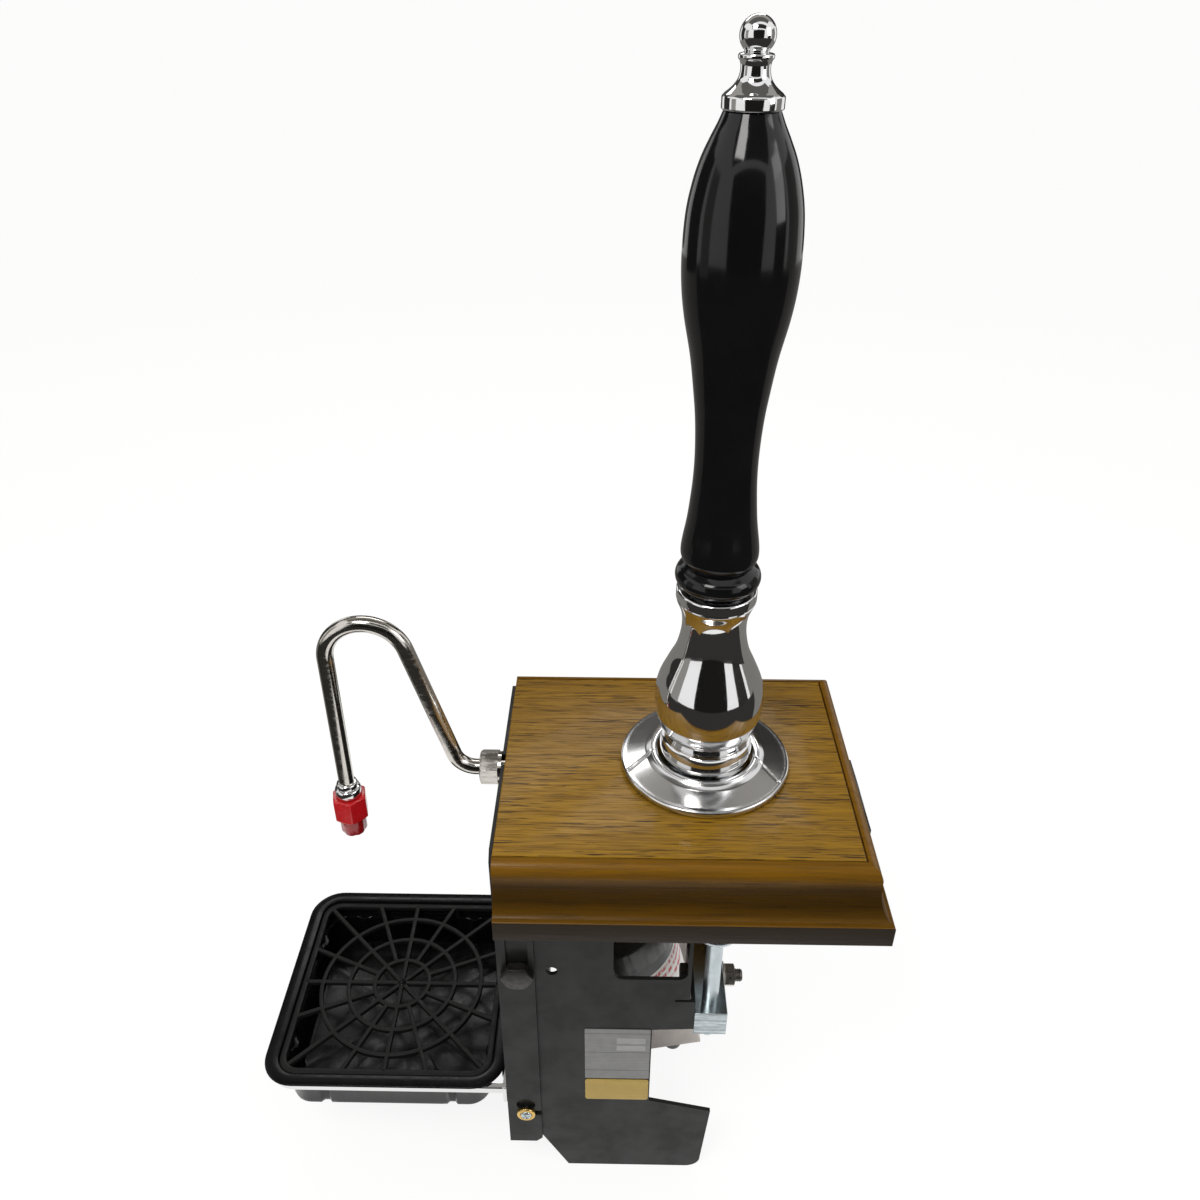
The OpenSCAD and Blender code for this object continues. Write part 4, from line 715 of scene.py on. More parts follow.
class PUMP_OT_stage(bpy.types.Operator):
    """Sets up the camera, lamps, surround and floor"""

    bl_idname = "pump.stage"
    bl_label = "Stage"

    floor_z = -0.2582

    def camera(self, scene, s):
        roll = math.radians(-0.11)
        cam = bpy.data.cameras.new("Photo camera")
        cam.lens, cam.sensor_width, cam.clip_start, cam.clip_end = s.lens, 36.0, 0.01, 50.0
        eye = bpy.data.objects.new("Photo camera", cam)
        eye.location = s.camera_at
        eye.rotation_euler = (math.pi / 2 - s.pitch, roll, s.yaw)
        scene.collection.objects.link(eye)
        scene.camera = eye

    def surround(self, scene, strength):
        """Soft light from all round, seen as plain white."""
        world = bpy.data.worlds.new("Surround")
        scene.world = world
        world.use_nodes = True
        tree = world.node_tree
        tree.nodes.clear()
        air = filled(tree.nodes.new("ShaderNodeBackground"), Color=(1.0, 0.985, 0.96, 1), Strength=strength)
        white = filled(tree.nodes.new("ShaderNodeBackground"), Color=(1, 1, 1, 1))
        mix = tree.nodes.new("ShaderNodeMixShader")
        seen = seen_by(tree, "Is Camera Ray", "Is Glossy Ray", "Is Transmission Ray")
        tree.links.new(seen, mix.inputs["Fac"])
        tree.links.new(air.outputs[0], mix.inputs[1])
        tree.links.new(white.outputs[0], mix.inputs[2])
        tree.links.new(mix.outputs[0], tree.nodes.new("ShaderNodeOutputWorld").inputs["Surface"])

    def lamp(self, scene, name, place, aim, size, power, colour=(1, 1, 1)):
        data = bpy.data.lights.new(name, "AREA")
        data.shape, data.size, data.size_y = "RECTANGLE", size[0], size[1]
        data.energy, data.color = power, colour
        o = bpy.data.objects.new(name, data)
        o.location = place
        o.rotation_euler = aimed(place, aim, "-Z")
        scene.collection.objects.link(o)

    def floor(self, scene):
        """Pale floor that keeps the shadow and is otherwise nearly white."""
        mesh = bpy.data.meshes.new("Floor")
        z, w = self.floor_z, 40.0
        mesh.from_pydata([(-w, -w, z), (w, -w, z), (w, w, z), (-w, w, z)], [], [(0, 1, 2, 3)])
        ground = bpy.data.objects.new("Floor", mesh)
        scene.collection.objects.link(ground)
        mat = bpy.data.materials.new("Pale floor")
        mat.use_nodes = True
        tree = mat.node_tree
        shader = filled(tree.nodes["Principled BSDF"], Base_Color=(0.9, 0.9, 0.9, 1), Roughness=0.9,
                        Specular_IOR_Level=0.1)
        glow = filled(tree.nodes.new("ShaderNodeEmission"), Strength=1.06)
        share = tree.nodes.new("ShaderNodeMath")
        share.operation = "MULTIPLY"
        share.inputs[1].default_value = 0.82
        tree.links.new(seen_by(tree, "Is Camera Ray", "Is Glossy Ray"), share.inputs[0])
        blend = tree.nodes.new("ShaderNodeMixShader")
        tree.links.new(share.outputs[0], blend.inputs["Fac"])
        tree.links.new(shader.outputs[0], blend.inputs[1])
        tree.links.new(glow.outputs[0], blend.inputs[2])
        tree.links.new(blend.outputs[0], tree.nodes["Material Output"].inputs["Surface"])
        mesh.materials.append(mat)

    def card(self, name, shape, place, tone, turned=True):
        """Flat card that only shows in reflections."""
        mesh = bpy.data.meshes.new(name)
        mesh.from_pydata(shape[0], [], shape[1])
        mat = bpy.data.materials.new(name)
        mat.use_nodes = True
        tree = mat.node_tree
        tree.nodes.clear()
        glow = filled(tree.nodes.new("ShaderNodeEmission"), Color=(1.0, 0.96, 0.9, 1), Strength=tone)
        tree.links.new(glow.outputs[0], tree.nodes.new("ShaderNodeOutputMaterial").inputs["Surface"])
        mesh.materials.append(mat)
        card = bpy.data.objects.new(name, mesh)
        card.location = place
        if turned:
            card.rotation_euler = aimed(place, (-0.08, 0, 0.1), "Z")
        card.visible_camera = card.visible_diffuse = card.visible_shadow = card.visible_transmission = False
        bpy.context.scene.collection.objects.link(card)

    def cards(self):
        """Cards for the polished parts: place, size and brightness."""
        for i, (place, (wide, high), tone) in enumerate((
                ((-0.1, -1.9, 0.45), (2.6, 1.9), 0.012), ((-0.1, -1.35, 1.95), (3.4, 0.9), 0.03),
                ((-2.0, -0.35, 0.3), (0.7, 1.6), 0.30), ((-1.9, 0.9, 0.4), (1.3, 1.6), 0.03),
                ((1.9, -0.8, 0.3), (0.9, 1.6), 0.03), ((2.1, 0.45, 0.3), (1.2, 1.6), 0.22),
                ((0.9, 2.0, 0.5), (1.0, 1.4), 0.03), ((-0.5, 2.2, 0.5), (1.5, 1.4), 0.10),
                ((-0.1, 1.9, 1.5), (5.0, 0.9), 0.05), ((-0.1, 1.35, 2.2), (4.6, 1.3), 0.36),
                ((-0.1, 0.2, 2.6), (4.0, 1.6), 0.12), ((0.13, 1.15, 1.5), (0.08, 0.5), 2.0))):
            a, b = wide / 2, high / 2
            flat = [(-a, -b, 0), (a, -b, 0), (a, b, 0), (-a, b, 0)], [(0, 1, 2, 3)]
            self.card(f"Card {i}", flat, place, tone)
        steps = 24
        for name, a0, a1, tone in (("Floor card front", 172, 368, 0.035), ("Floor card back", 8, 172, 0.22)):
            turns = [math.radians(a0 + (a1 - a0) * k / steps) for k in range(steps + 1)]
            ring = [(r * math.cos(a), r * math.sin(a), 0) for r in (0.4, 2.6) for a in turns]
            quads = [(k, k + 1, steps + 2 + k, steps + 1 + k) for k in range(steps)]
            self.card(name, (ring, quads), (-0.1, 0, self.floor_z + 0.001), tone, False)

    def execute(self, context):
        scene = context.scene
        s = scene.pump_stage
        scene.view_settings.view_transform = "Standard"
        self.camera(scene, s)
        self.surround(scene, s.air)
        self.lamp(scene, "Key", (-0.55, -0.75, 1.35), (-0.1, 0, 0.05), (0.5, 0.5), s.key, (1, 0.98, 0.95))
        self.lamp(scene, "Fill", (1.1, -0.5, 0.7), (-0.05, 0, 0.05), (0.5, 0.8), s.fill)
        self.lamp(scene, "Back strip", (-0.2, 1.2, 1.2), (-0.1, 0, 0.1), (1.2, 0.3), s.fill)
        self.floor(scene)
        self.cards()
        return {"FINISHED"}


class PUMP_OT_board(bpy.types.Operator):
    """Makes the oak board on top of the casing"""

    bl_idname = "pump.board"
    bl_label = "Board"

    def execute(self, context):
        x0, x1, y, z0, z1 = BOARD
        edge = context.scene.pump_wood.edge
        hole = arc(HANDLE_X, 0, 27, 0, 360, 95)[:-1]
        plate = sheet([[(x0, -y), (x1, -y), (x1, y), (x0, y)], hole], z1 - z0, edge)
        piece("Board", shifted(plate, z=(z0 + z1) / 2), "Oak top", "stand", ["top_board"])
        return {"FINISHED"}


def moulding_profile():
    """Outline of the moulding: how far out, and the height."""
    turns = [math.radians(a) for a in range(0, 91, 6)]
    cove = [(15.9 - 7.7 * math.sin(a), 15.2 + 21.6 * (1 - math.cos(a))) for a in turns]
    bead = arc(0.5, 40.0, 7.7, 0, 86, 14)
    return ([(0.2, 0.0), (16.6, 0.0), (17.0, 0.4), (17.0, 13.5), (16.7, 14.0), (16.1, 14.3)] + cove
            + [(8.2, 38.4)] + bead + [(0.95, 47.2), (0.85, 45.4), (0.2, 45.2)])


class PUMP_OT_mouldings(bpy.types.Operator):
    """Makes the mitred mouldings round the board and finishes the seat panel"""

    bl_idname = "pump.mouldings"
    bl_label = "Mouldings"

    def execute(self, context):
        x0, x1, y, _, _ = BOARD
        profile = moulding_profile()
        # Faces below the foot's top take the dark foot finish: partly stain, partly painted shade.
        wood = ["Oak moulding", "Stained foot"]
        foot_top = 13.9

        def foot(centre, normal):
            return 1 if centre.z < foot_top else 0

        near = loft([[(x0 + 0.02, -y - d, z) for d, z in profile],
                     [(x1 + d - 0.12, -y - d, z) for d, z in profile]])
        ends = loft([[(x1 + d, s * (y + d - 0.02), z) for d, z in profile] for s in (-1, 1)])
        piece("Near moulding", near, wood, "stand", ["near_moulding"], parts=foot)
        piece("Far moulding", mirrored(near), wood, "stand", ["far_moulding"], parts=foot)
        piece("Bar side moulding", ends, wood, "stand", ["bar_side_moulding"], parts=foot)
        dress("Stained foot", "seat_panel")
        return {"FINISHED"}


class PUMP_OT_clip(bpy.types.Operator):
    """Makes the clip bracket on the bar side"""

    bl_idname = "pump.clip"
    bl_label = "Clip bracket"

    def execute(self, context):
        x = BOARD[1] + MOULD_OUT
        out = x + 1.9
        side = [(x, 1.2), (out, 1.2), (out, 14), (x - 4, 29.9), (x - 5.4, 29.4), (x, 13.2)]
        piece("Clip bracket", slab(side, -22.9, 22.9), "Black paint", "stand", ["clip_bracket"],
              edge=0.5)
        head = lathe([(0, 0), (3, 0), (2.8, 0.7), (1.4, 0.95), (0, 0.95)], 32)
        heads = [moved(head, axis_x(out, s * 11.5, 7)) for s in (-1, 1)]
        piece("Clip screws", joined(*heads), "Dark zinc", "stand")
        return {"FINISHED"}


class PUMP_OT_plates(bpy.types.Operator):
    """Finishes the side plates, the front cover and the frame's small parts"""

    bl_idname = "pump.plates"
    bl_label = "Plates"

    def execute(self, context):
        dress("Grey sheet", "near_side_plate", "far_side_plate", "front_cover")
        dress("Dark zinc", "stay_rods", "mount_spacers")
        dress("Zinc", "frame_screws", "pivot_bracket")
        return {"FINISHED"}


def phillips(r, top, n=72):
    """Pan head with a cross recess, on Z."""
    rings = [(0, 0), (r, 0), (r, top * 0.35)]
    for i in range(1, 15):
        t = math.radians(90 * i / 14)
        rings.append((r * math.cos(t) if i < 14 else 0.0, top * 0.35 + top * 0.65 * math.sin(t)))
    verts, faces = lathe(rings, n)
    out = []
    for x, y, z in verts:
        across, along = sorted((abs(x), abs(y)))
        cut = held((0.55 - across) / 0.25) * held((r * 0.66 - along) / 0.3)
        out.append((x, y, z - 0.9 * cut if z > top * 0.4 else z))
    return out, faces


class PUMP_OT_fasteners(bpy.types.Operator):
    """Makes the cover's bolts, cup washers and screws"""

    bl_idname = "pump.fasteners"
    bl_label = "Fasteners"

    def execute(self, context):
        side, bolt_z, cup_z = 78, -49.5, -193.6  # flange's outer face and two heights
        turn = Matrix.Rotation(math.radians(30), 4, "Z")
        shank = lathe([(0, -8.4), (4.4, -8.4), (5, -7.8), (5, 0), (0, 0)], 48)
        cup = lathe([(2.6, 0.05), (6.2, 0.05), (6.15, 0.8)] + arc(5.2, 1.25, 0.95, -10, 90, 6)
                    + [(4.3, 2.1), (3.4, 1.1), (2.6, 1.0)], 64, True)
        stem = lathe([(0, -9.4), (2.3, -9.4), (2.5, -9), (2.5, 0), (0, 0)], 32)
        bolts, cups, screws = [], [], []
        for s in (-1, 1):
            place = axis_y(BOLT_X, s * side, bolt_z, s)
            bolts += [moved(hex_bar(17, 6, False, True), place @ turn), moved(shank, place)]
            cups.append(moved(cup, axis_y(BOLT_X, s * side, cup_z, s)))
            place = axis_y(BOLT_X, s * (side + 1), cup_z, s)
            screws += [moved(phillips(3.6, 2.5), place @ Matrix.Rotation(0.35, 4, "Z")), moved(stem, place)]
        piece("Cover bolts", joined(*bolts), "Bolt zinc", "stand", ["cover_bolts"], edge=0.15)
        piece("Cup washers", joined(*cups), "Brass", "stand", ["cup_washers"])
        piece("Cover screws", joined(*screws), "Zinc", "stand", ["cover_screws"], crease=24)
        return {"FINISHED"}


class PUMP_OT_tags(bpy.types.Operator):
    """Makes the silver and gold tags on the near plate"""

    bl_idname = "pump.tags"
    bl_label = "Tags"

    def execute(self, context):
        x0, x1 = -120.5, -79.5
        upright = Matrix.Translation((0, -76.25, 0)) @ Matrix.Rotation(math.pi / 2, 4, "X")
        for name, node, slot, z0, z1, r in (("Silver tag", "silver_plate", "silver_tag", -156.0, -105.0, 0.8),
                                            ("Gold tag", "gold_plate", "gold_tag", -179.2, -157.2, 2.0)):
            loop = (arc(x1 - r, z1 - r, r, 0, 90, 5) + arc(x0 + r, z1 - r, r, 90, 180, 5)
                    + arc(x0 + r, z0 + r, r, 180, 270, 5) + arc(x1 - r, z0 + r, r, 270, 360, 5))
            piece(name, moved(sheet([loop], 0.45, 0.08), upright), name, "stand", [node])
        return {"FINISHED"}


class PUMP_OT_rosette(bpy.types.Operator):
    """Makes the rosette with its two grooves"""

    bl_idname = "pump.rosette"
    bl_label = "Rosette"

    def execute(self, context):
        rim = [(28.5, 0), (49.2, 0), (50, 0.8), (50, 2.6)] + arc(48.4, 3.0, 1.6, 0, 80, 8) + [(47.6, 4.62)]
        cone = [(46.5 - i * 0.75, 4.75 + i * 0.75 * 0.235) for i in range(16)]
        collar = (catmull([(34.6, 7.75), (33.2, 8.6), (32.2, 9.4)], 4) + arc(30.6, 8.7, 1.3, 25, 90, 6)
                  + [(29.4, 10), (28.5, 9.4)])
        verts, faces = lathe(rim + cone + collar, 720, True)
        grooves = [((-31.8, -2.2), (-46.2, -15.6)), ((29.4, -7.6), (40.4, -22.6))]
        out = []
        for x, y, z in verts:
            sink = 0.0
            if z > 4.5:
                for (ax, ay), (bx, by) in grooves:
                    dx, dy = bx - ax, by - ay
                    t = held(((x - ax) * dx + (y - ay) * dy) / (dx * dx + dy * dy))
                    d = math.hypot(x - ax - t * dx, y - ay - t * dy)
                    sink = max(sink, held((1.15 - d) / 0.5))
            out.append((x, y, z - 0.75 * sink))
        piece("Rosette", shifted((out, faces), HANDLE_X, 0, BOARD[4]), "Rosette plate", "stand", ["rosette"],
              crease=50)
        return {"FINISHED"}


class PUMP_OT_handle(bpy.types.Operator):
    """Makes the ferrule, black bead, grip and finial, and finishes the linkage"""

    bl_idname = "pump.handle"
    bl_label = "Handle"

    def turned(self, name, profile, n, z, look, node, slot, crease=32, loop=True):
        """Turned piece on the handle's axis."""
        shape = shifted(lathe(profile, n, loop), HANDLE_X, 0, z)
        piece(name, shape, look, "handle", [node], crease=crease)

    def execute(self, context):
        grip_z = PIVOT_Z + 126.0
        ball = arc(0, 0, 27.0, -10.67, 15.6, 16)
        bell = catmull([(24.3, 9.2), (24.5, 11), (25.7, 14), (28.4, 20), (30.3, 28), (31, 38), (29.6, 47.6),
                        (25.2, 58.6), (20.6, 69), (18.2, 79.5), (17.7, 87.6), (18.6, 94.5), (20.8, 100.4)])
        rim = ([(21.4, 101.8), (21.55, 102.3), (21.0, 102.7), (21.1, 103.1), (21.75, 103.5), (21.8, 104)]
               + arc(20.4, 108.2, 1.4, 0, 90, 6) + [(19.5, 109.9), (5.2, 109.9)])
        bore = [(5.2, 24), (7.6, 24), (7.6, 16.5), (15, 16.5), (21, 8), (21, -5)]
        ferrule = ball + [(24.9, 7.9), (24.35, 8.5)] + bell + rim + bore
        self.turned("Ferrule", ferrule, 160, PIVOT_Z, "Chrome", "handle_ferrule", "chrome", crease=40)
        bead = ([(5.2, 110.1), (17.6, 110.1), (18.4, 110.6)] + arc(16.4, 117.3, 6.5, -62, 62, 14)
                + [(18.6, 123.9), (17.6, 124.6), (17.5, 125.9), (5.2, 125.9)])
        self.turned("Bead", bead, 128, PIVOT_Z, "Grip black", "grip_collar", "black_gloss")
        h = 214.8
        swell = catmull([(19.2, 0.6), (20.4, 4), (20.5, 8), (19.8, 13.6), (18.1, 24.5), (16.85, 37),
                         (16.15, 47), (15.9, 57.5), (16.15, 68.5), (16.85, 80), (18, 90.5), (20.7, 110),
                         (24.5, 129), (26.3, 143), (26.78, 157), (25.9, 174), (23.6, 186.6), (20.6, 196.5),
                         (17.2, 204.2), (14.4, 209.8), (12.6, 213.9)])
        grip = [(5.2, 0.1), (18.0, 0.1), (18.9, 0.25)] + swell + [(12.2, h), (5.2, h)]
        self.turned("Grip", grip, 160, grip_z, "Grip black", "grip", "black_gloss")
        foot = [(0.0, 0.1), (12.4, 0.1), (13.15, 0.8), (13.2, 1.2), (13.2, 5.0), (13.1, 5.5), (12.5, 6.1)]
        waist = catmull([(12.1, 6.6), (10.6, 7.7), (8.7, 9.4), (7.1, 11.6), (6.3, 14.2), (6.25, 16.8),
                         (6.8, 18.5)], 6)
        collar = [(7.3, 19.0), (7.45, 19.5), (7.45, 20.3), (7.1, 20.9), (5.0, 21.5)]
        finial = foot + waist + collar + arc(0, 27.5, 7.5, -48, 90, 24)[:-1] + [(0.0, 35.0)]
        self.turned("Finial", finial, 96, grip_z + 215, "Chrome", "finial", "chrome", crease=50, loop=False)
        dress("Turned steel", "handle_stud", "crank_pin", "pivot_pin", "piston_rod", "rod_eye", "wrist_pin")
        dress("Zinc", "lever", "link_plates")
        dress("Brass", "lever_bush")
        return {"FINISHED"}


class PUMP_OT_clamp(bpy.types.Operator):
    """Makes the clamp bar, its bolts, screws and pads"""

    bl_idname = "pump.clamp"
    bl_label = "Clamp"

    def execute(self, context):
        side, bolt_y, plate, head = 20.0, 41.0, 2.5, 4.5
        x0 = BAR_X - side / 2
        bar = box(x0, x0 + side, -77, 77, BAR_TOP - side, BAR_TOP)
        piece("Clamp bar", bar, ["Bar zinc", "Sawn zinc"], "stand", ["clamp_bar"], edge=0.5,
              parts=lambda c, n: 1 if abs(n.y) > 0.9 else 0)
        shank = lathe([(0, 0), (4, 0)] + thread(4, 24, 39.2, 1.25, 0.35) + [(3.2, 39.9), (0, 39.9)], 40)
        washer = lathe([(4, 0), (8.3, 0), (8.5, 0.3), (8.5, 0.9), (7, 1.7), (4, 1.7)], 64, True)
        bolts, nuts = [], []
        for s in (-1, 1):
            place = axis_x(x0 - plate - head, s * bolt_y, BAR_TOP - side / 2)
            bolts += [moved(hex_bar(13, head, True, False), place), moved(shank, place)]
            place = axis_x(x0 + side, s * bolt_y, BAR_TOP - side / 2)
            nuts += [moved(washer, place), moved(hex_bar(13, 8, False, True, 4.0), place)]
        piece("Clamp bolts", joined(*bolts), "Dark zinc", "stand", ["clamp_bolts"])
        piece("Clamp nuts", joined(*nuts), "Nut zinc", "stand", ["clamp_nuts"])
        tip = PAD_Z + 3  # screw's upper end, in the pad
        low = tip - 99
        rod = ([(0, low), (2.8, low + 0.5), (4.2, low + 1.5)] + thread(5, low + 3, PAD_Z - 0.5, 1.5, 0.12)
               + [(5, tip), (0, tip)])
        pad = ([(4.9, 0), (12.0, 0)] + arc(11.6, 2.9, 2.9, -80, -8, 8) + [(14.95, 3.4), (15, 4.3)]
               + arc(14.3, 4.35, 0.62, 0, 150, 8)
               + [(12.4, 3.9), (10.8, 3.5), (5.6, 3.3), (0, 3.3), (0, 2.9)])
        for s, name in ((-1, "near"), (1, "far")):
            body = f"{name}_clamp"
            screw = shifted(lathe(rod, 48), BAR_X, s * CLAMP_Y, 0)
            piece(f"Clamp screw {name}", screw, "Zinc thread", body, [f"{name}_clamp_screw"])
            disc = shifted(lathe(pad, 96), BAR_X, s * CLAMP_Y, PAD_Z)
            piece(f"Clamp pad {name}", disc, "Zinc", body, [f"{name}_clamp_pad"])
        return {"FINISHED"}


class PUMP_OT_tray(bpy.types.Operator):
    """Makes the drip tray with its rolled rim and pressed grooves"""

    bl_idname = "pump.tray"
    bl_label = "Drip tray"

    def execute(self, context):
        rings = []
        for half, r, drop, groove in (
                (1.0, 0.9, 41, 0), (62, 9, 41, 0.5), (66.2, 13, 40.6, 1.3), (67.8, 14.4, 39.2, 1.9),
                (68.3, 15, 36.5, 2), (68.5, 15, 14.6, 2), (68.7, 15, 14.1, 1.6), (72.7, 15, 13.6, 0),
                (73.3, 15, 12.9, 0), (73.5, 15, 2.2, 0), (73.8, 15.2, 2.0, 0), (79.4, 21, 2.0, 0),
                (80.2, 21.8, 1.6, 0), (80.5, 22, 1.0, 0), (80.2, 21.8, 0.35, 0), (79.4, 21, 0, 0),
                (73.2, 14.8, 0, 0), (72.1, 13.9, 0.25, 0), (71.6, 13.2, 1.0, 0), (71.5, 13, 12, 0),
                (67.2, 13, 12.1, 0), (66.6, 13, 12.7, 1.6), (66.4, 13, 14.0, 2), (66.2, 13, 37, 2),
                (65.4, 12.4, 38.6, 1.4), (63.5, 11, 39, 0.4), (1.0, 0.9, 39, 0)):
            rings.append([(TRAY_X + x, y, TRAY_Z - drop) for x, y in round_square(half, r, groove=groove)])
        piece("Drip tray", loft(rings), "Tray black", "tray", ["drip_tray"], crease=38)
        return {"FINISHED"}


def bar_section(w, low, top, soft=0.5, crown=0.0):
    """Outline of a grid bar with softened upper edges; w is half its width."""
    part = soft * 0.3
    return [(-w, low), (w, low), (w, top - soft), (w - part, top - part), (w - soft, top + crown),
            (-w + soft, top + crown), (-w + part, top - part), (-w, top - soft)]


def bar_between(a, b, section):
    """Straight grid bar from one point to another."""
    dx, dy = b[0] - a[0], b[1] - a[1]
    n = math.hypot(dx, dy)
    return loft([[(x - dy / n * u, y + dx / n * u, v) for u, v in section] for x, y in (a, b)])


class PUMP_OT_grid(bpy.types.Operator):
    """Makes the web grid that lies in the tray"""

    bl_idname = "pump.grid"
    bl_label = "Grid"

    def execute(self, context):
        top = TRAY_Z - 1.5
        low = top - 3.0
        half_bar = 1.45
        shapes = []

        def at_side(angle, half):
            c, s = math.cos(angle), math.sin(angle)
            k = half / max(abs(c), abs(s))
            return k * c, k * s

        for i in range(16):
            a = TURN * i / 16
            reach = 68.4 * (0.955 if i % 4 == 2 else 1.0)
            start = 0.5 if i % 2 == 0 else 19.0
            section = bar_section(half_bar, low + 0.02 * (i % 3), top - 0.03 * (i % 4))
            shapes.append(bar_between((start * math.cos(a), start * math.sin(a)), at_side(a, reach), section))
        for r in (19.33, 37.67, 56.5):
            section = bar_section(half_bar, low, top, crown=0.02)
            shapes.append(lathe([(r + u, v) for u, v in section], 96, True))
        rings = []
        for half, r, z in ((71, 12.4, low), (71, 12.4, top - 0.5), (70.8, 12.3, top - 0.15), (70.4, 12, top),
                           (67.6, 10.4, top), (67.2, 10.1, top - 0.15), (67, 10, top - 0.5), (67, 10, low)):
            rings.append([(x, y, z) for x, y in round_square(half, r, 24)])
        shapes.append(loft(rings, loop=True))
        z0, z1 = TRAY_Z - 11.9, low + 0.1
        pin = lathe([(0, z0), (1.6, z0), (2, z0 + 0.4), (2, z1), (0, z1)], 20)
        for a in range(4):
            for t in (-30, 30):
                shapes.append(moved(shifted(pin, 68.8, t, 0), Matrix.Rotation(a * math.pi / 2, 4, "Z")))
        piece("Grid", shifted(joined(*shapes), TRAY_X), "Grid black", "grid", ["tray_grid"])
        knob = lathe([(3.0, top - 0.4), (3.0, top + 0.2), (2.6, top + 0.55)]
                     + arc(0, top - 0.4, 2.2, 30, 90, 8)[:-1] + [(0, top + 1.15)], 40)
        piece("Grid centre", shifted(knob, TRAY_X), "Tray black", "grid")
        return {"FINISHED"}


class PUMP_OT_rail(bpy.types.Operator):
    """Makes the bent rail that carries the tray"""

    bl_idname = "pump.rail"
    bl_label = "Tray rail"

    def execute(self, context):
        z0, z1 = TRAY_Z - 8.0, TRAY_Z - 2.02
        r, half = 20.5, 77.0
        x0 = TRAY_X - half + r
        line = ([(COVER_X, -half)] + arc(x0, r - half, r, 270, 180, 15) + arc(x0, half - r, r, 180, 90, 15)
                + [(COVER_X, half)])
        e = 0.7
        section = [(-2, z0 + e), (-2 + e, z0), (2 - e, z0), (2, z0 + e),
                   (2, z1 - e), (2 - e, z1), (-2 + e, z1), (-2, z1 - e)]
        rings = []
        for i, (x, y) in enumerate(line):
            a, b = line[max(i - 1, 0)], line[min(i + 1, len(line) - 1)]
            dx, dy = b[0] - a[0], b[1] - a[1]
            n = math.hypot(dx, dy)
            rings.append([(x - dy / n * u, y + dx / n * u, v) for u, v in section])
        outwards = Matrix.Rotation(-math.pi / 2, 4, "Y")
        lugs, screws = [], []
        for s in (-1, 1):
            lug = box(COVER_X - 2.45, COVER_X - 0.02, 54.1, 78.8, TRAY_Z - 17.9, TRAY_Z - 2.1)
            lugs.append(lug if s > 0 else mirrored(lug))
            place = Matrix.Translation((COVER_X - 2.5, s * 62, TRAY_Z - 11)) @ outwards
            screws.append(moved(phillips(3.8, 2.2), place))
            screws.append(moved(lathe([(0, -10.4), (2, -10.4), (2, 0), (0, 0)], 24), place))
        piece("Tray rail", joined(loft(rings), *lugs), "Chrome", "stand", ["tray_rail"],
              edge=0.25, crease=30)
        piece("Rail screws", joined(*screws), "Zinc", "stand", ["tray_rail_screws"], crease=24)
        return {"FINISHED"}


def neck_path():
    """Stations along the swan neck, from the nut to the mouth."""
    lean = math.radians(16)
    top_r, low_r = 23.5, 14
    tx, tz = SPOUT_X + top_r, SPOUT_Z + 108 - NECK_R - top_r
    px, pz = tx + top_r * math.cos(lean), tz + top_r * math.sin(lean)
    lz = SPOUT_Z + low_r * (1 - math.sin(lean))
    lx = px + (pz - lz) * math.tan(lean)
    cx, cz = lx + low_r * math.cos(lean), SPOUT_Z + low_r
    out = [(-178.75, SPOUT_Z, math.pi)]
    for i in range(19):
        a = math.radians(270 - 74 * i / 18)
        out.append((cx + low_r * math.cos(a), cz + low_r * math.sin(a), a - math.pi / 2))
    for i in range(41):
        a = lean + (math.pi - lean) * i / 40
        out.append((tx + top_r * math.cos(a), tz + top_r * math.sin(a), a + math.pi / 2))
    return out + [(SPOUT_X, 2.02, 1.5 * math.pi)]


class PUMP_OT_spout(bpy.types.Operator):
    """Makes the swan neck, its nut and the ferrule at its mouth, and finishes its elbow"""

    bl_idname = "pump.spout"
    bl_label = "Spout"

    def execute(self, context):
        piece("Swan neck", tube(neck_path(), NECK_R), "Nickel tube", "spout", ["swan_neck"])
        turn = Matrix.Rotation(math.radians(30), 4, "Z")
        nut = moved(hex_bar(19, 11, True, False, 4.8), axis_x(-184.7, 0, SPOUT_Z) @ turn)
        piece("Spout nut", nut, "Nickel tube", "stand", ["spout_nut"], edge=0.12)
        dress("Nickel tube", "spout_elbow")
        z = 17.35
        ring = [(NECK_R, 2.1), (6, 2.1), (6, z), (7.2, z), (7.7, z + 0.4), (7.9, z + 0.9), (7.9, z + 4.6),
                (7.6, z + 5.4), (7.0, z + 5.9), (6.3, z + 6.1), (6.35, z + 6.6), (6.4, z + 8.6),
                (6.1, z + 9.4), (5.5, z + 9.9), (NECK_R, z + 9.9)]
        piece("Spout ferrule", shifted(lathe(ring, 72, True), SPOUT_X), "Chrome", "spout", ["spout_ferrule"],
              crease=40)
        return {"FINISHED"}


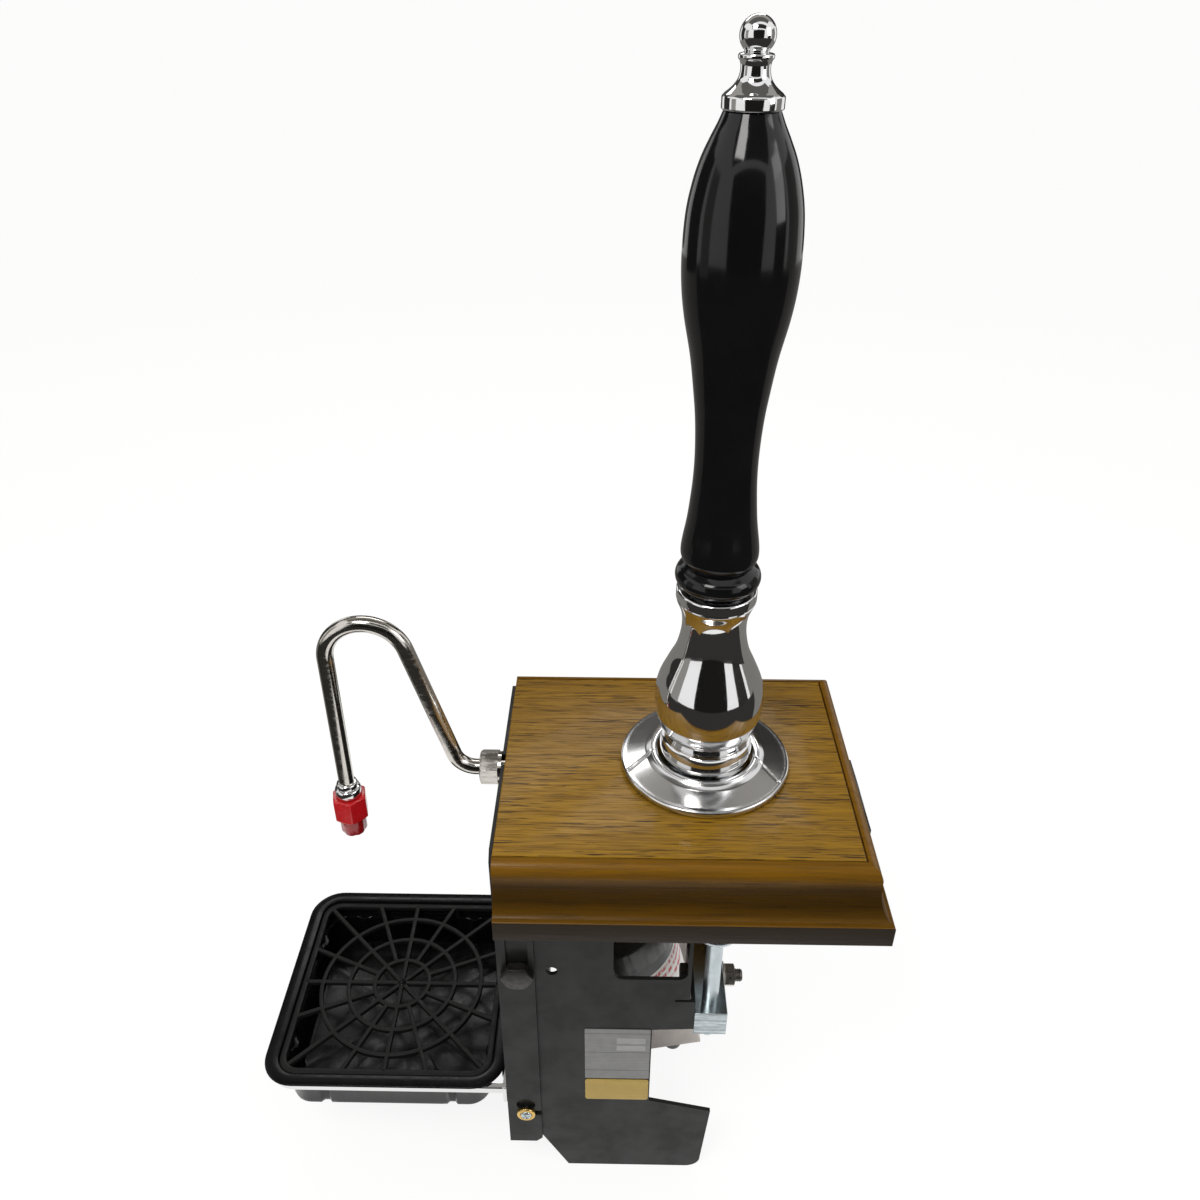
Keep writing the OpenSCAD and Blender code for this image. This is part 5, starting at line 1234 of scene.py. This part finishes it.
class PUMP_OT_sparkler(bpy.types.Operator):
    """Makes the red sparkler and its nozzle"""

    bl_idname = "pump.sparkler"
    bl_label = "Sparkler"

    def execute(self, context):
        turn = math.radians(14)
        cap = moved(hex_bar(19.5, 16.9, True, True, 6.05), Matrix.Rotation(turn, 4, "Z"))
        piece("Sparkler cap", shifted(cap, SPOUT_X, 0, 0.05), "Red plastic", "sparkler", ["sparkler_cap"],
              edge=0.7, crease=28)
        body = [(0, -15), (2.6, -15), (3.2, -14.4), (3.3, -13.1), (6.6, -12.9), (7.4, -12.2), (7.95, -11),
                (8, 0), (4.2, 0), (4.2, -1), (0, -1)]
        verts, faces = lathe(body, 72)
        out = []
        for x, y, z in verts:
            t = math.atan2(y, x) + turn
            k = 1.0
            if math.hypot(x, y) > 5 and z < -0.5:
                k = 1.0 - 0.07 * (0.5 + 0.5 * math.cos(6 * t)) ** 3
            out.append((x * k, y * k, z))
        piece("Sparkler nozzle", shifted((out, faces), SPOUT_X), "Dark red plastic", "sparkler",
              ["sparkler_nozzle"])
        return {"FINISHED"}


class PUMP_OT_pump(bpy.types.Operator):
    """Makes the cylinder's cap and band, and finishes the rest of the pump"""

    bl_idname = "pump.pump"
    bl_label = "Pump cylinder"

    def execute(self, context):
        place = cylinder_place()
        z = CAP_LOW
        cap = ([(5.1, z + 20), (37.4, z + 20)] + arc(37.3, z + 18.8, 1.2, 90, 0, 6)
               + [(38.5, z + 1), (38.2, z + 0.2), (37.4, z), (36.05, z), (36.05, z + 13.9), (5.1, z + 13.9)])
        verts, faces = lathe(cap, 144, True)
        ribs = []
        for i, (x, y, z) in enumerate(verts):
            k = 1 - 0.012 if i % 6 == 0 and math.hypot(x, y) > 38 else 1.0
            ribs.append((x * k, y * k, z))
        piece("Cylinder cap", moved((ribs, faces), place), "Cap grey", "stand", ["cylinder_cap"])
        z = BAND_LOW
        film = lathe([(36.02, z), (36.28, z + 0.05), (36.3, z + 39.95), (36.02, z + 40)], 128, True)
        piece("Cylinder band", moved(film, place), "Printed band", "stand", ["cylinder_band"])
        dress("Milky tube", "cylinder_tube", "outlet_hose")
        dress("Brass", "gland_nut")
        dress("Cast alloy", "cylinder_foot", "outlet_fitting")
        dress("Black paint", "inlet_fitting")
        dress("Rubber", "valve_balls", "piston_seals")
        dress("Piston white", "piston")
        return {"FINISHED"}


class PUMP_PT_panel(bpy.types.Panel):
    """Lists the pieces of the hand pump"""

    bl_idname = "PUMP_PT_panel"
    bl_label = "Hand Pump"
    bl_space_type = "VIEW_3D"
    bl_region_type = "UI"
    bl_category = "Hand Pump"

    def draw(self, context):
        for op in OPERATORS:
            self.layout.operator(op.bl_idname)
        for name in GROUPS:
            group = getattr(context.scene, name)
            for key in group.bl_rna.properties.keys():
                if key not in ("rna_type", "name"):
                    self.layout.prop(group, key)


GROUPS = {"pump_wood": PumpWoodSettings, "pump_metal": PumpMetalSettings, "pump_plastic": PumpPlasticSettings,
          "pump_stage": PumpStageSettings}
OPERATORS = (PUMP_OT_stage, PUMP_OT_board, PUMP_OT_mouldings, PUMP_OT_clip, PUMP_OT_plates, PUMP_OT_fasteners,
             PUMP_OT_tags, PUMP_OT_rosette, PUMP_OT_handle, PUMP_OT_clamp, PUMP_OT_tray, PUMP_OT_grid,
             PUMP_OT_rail, PUMP_OT_spout, PUMP_OT_sparkler, PUMP_OT_pump)


def register():
    for c in (*GROUPS.values(), *OPERATORS, PUMP_PT_panel):
        bpy.utils.register_class(c)
    for name, c in GROUPS.items():
        setattr(bpy.types.Scene, name, bpy.props.PointerProperty(type=c))


def unregister():
    for name in GROUPS:
        delattr(bpy.types.Scene, name)
    for c in (PUMP_PT_panel, *reversed(OPERATORS), *reversed(list(GROUPS.values()))):
        bpy.utils.unregister_class(c)


def main():
    register()
    for op in OPERATORS:
        family, name = op.bl_idname.split(".")
        getattr(getattr(bpy.ops, family), name)()
    bpy.context.view_layer.update()


if __name__ == "__main__":
    main()
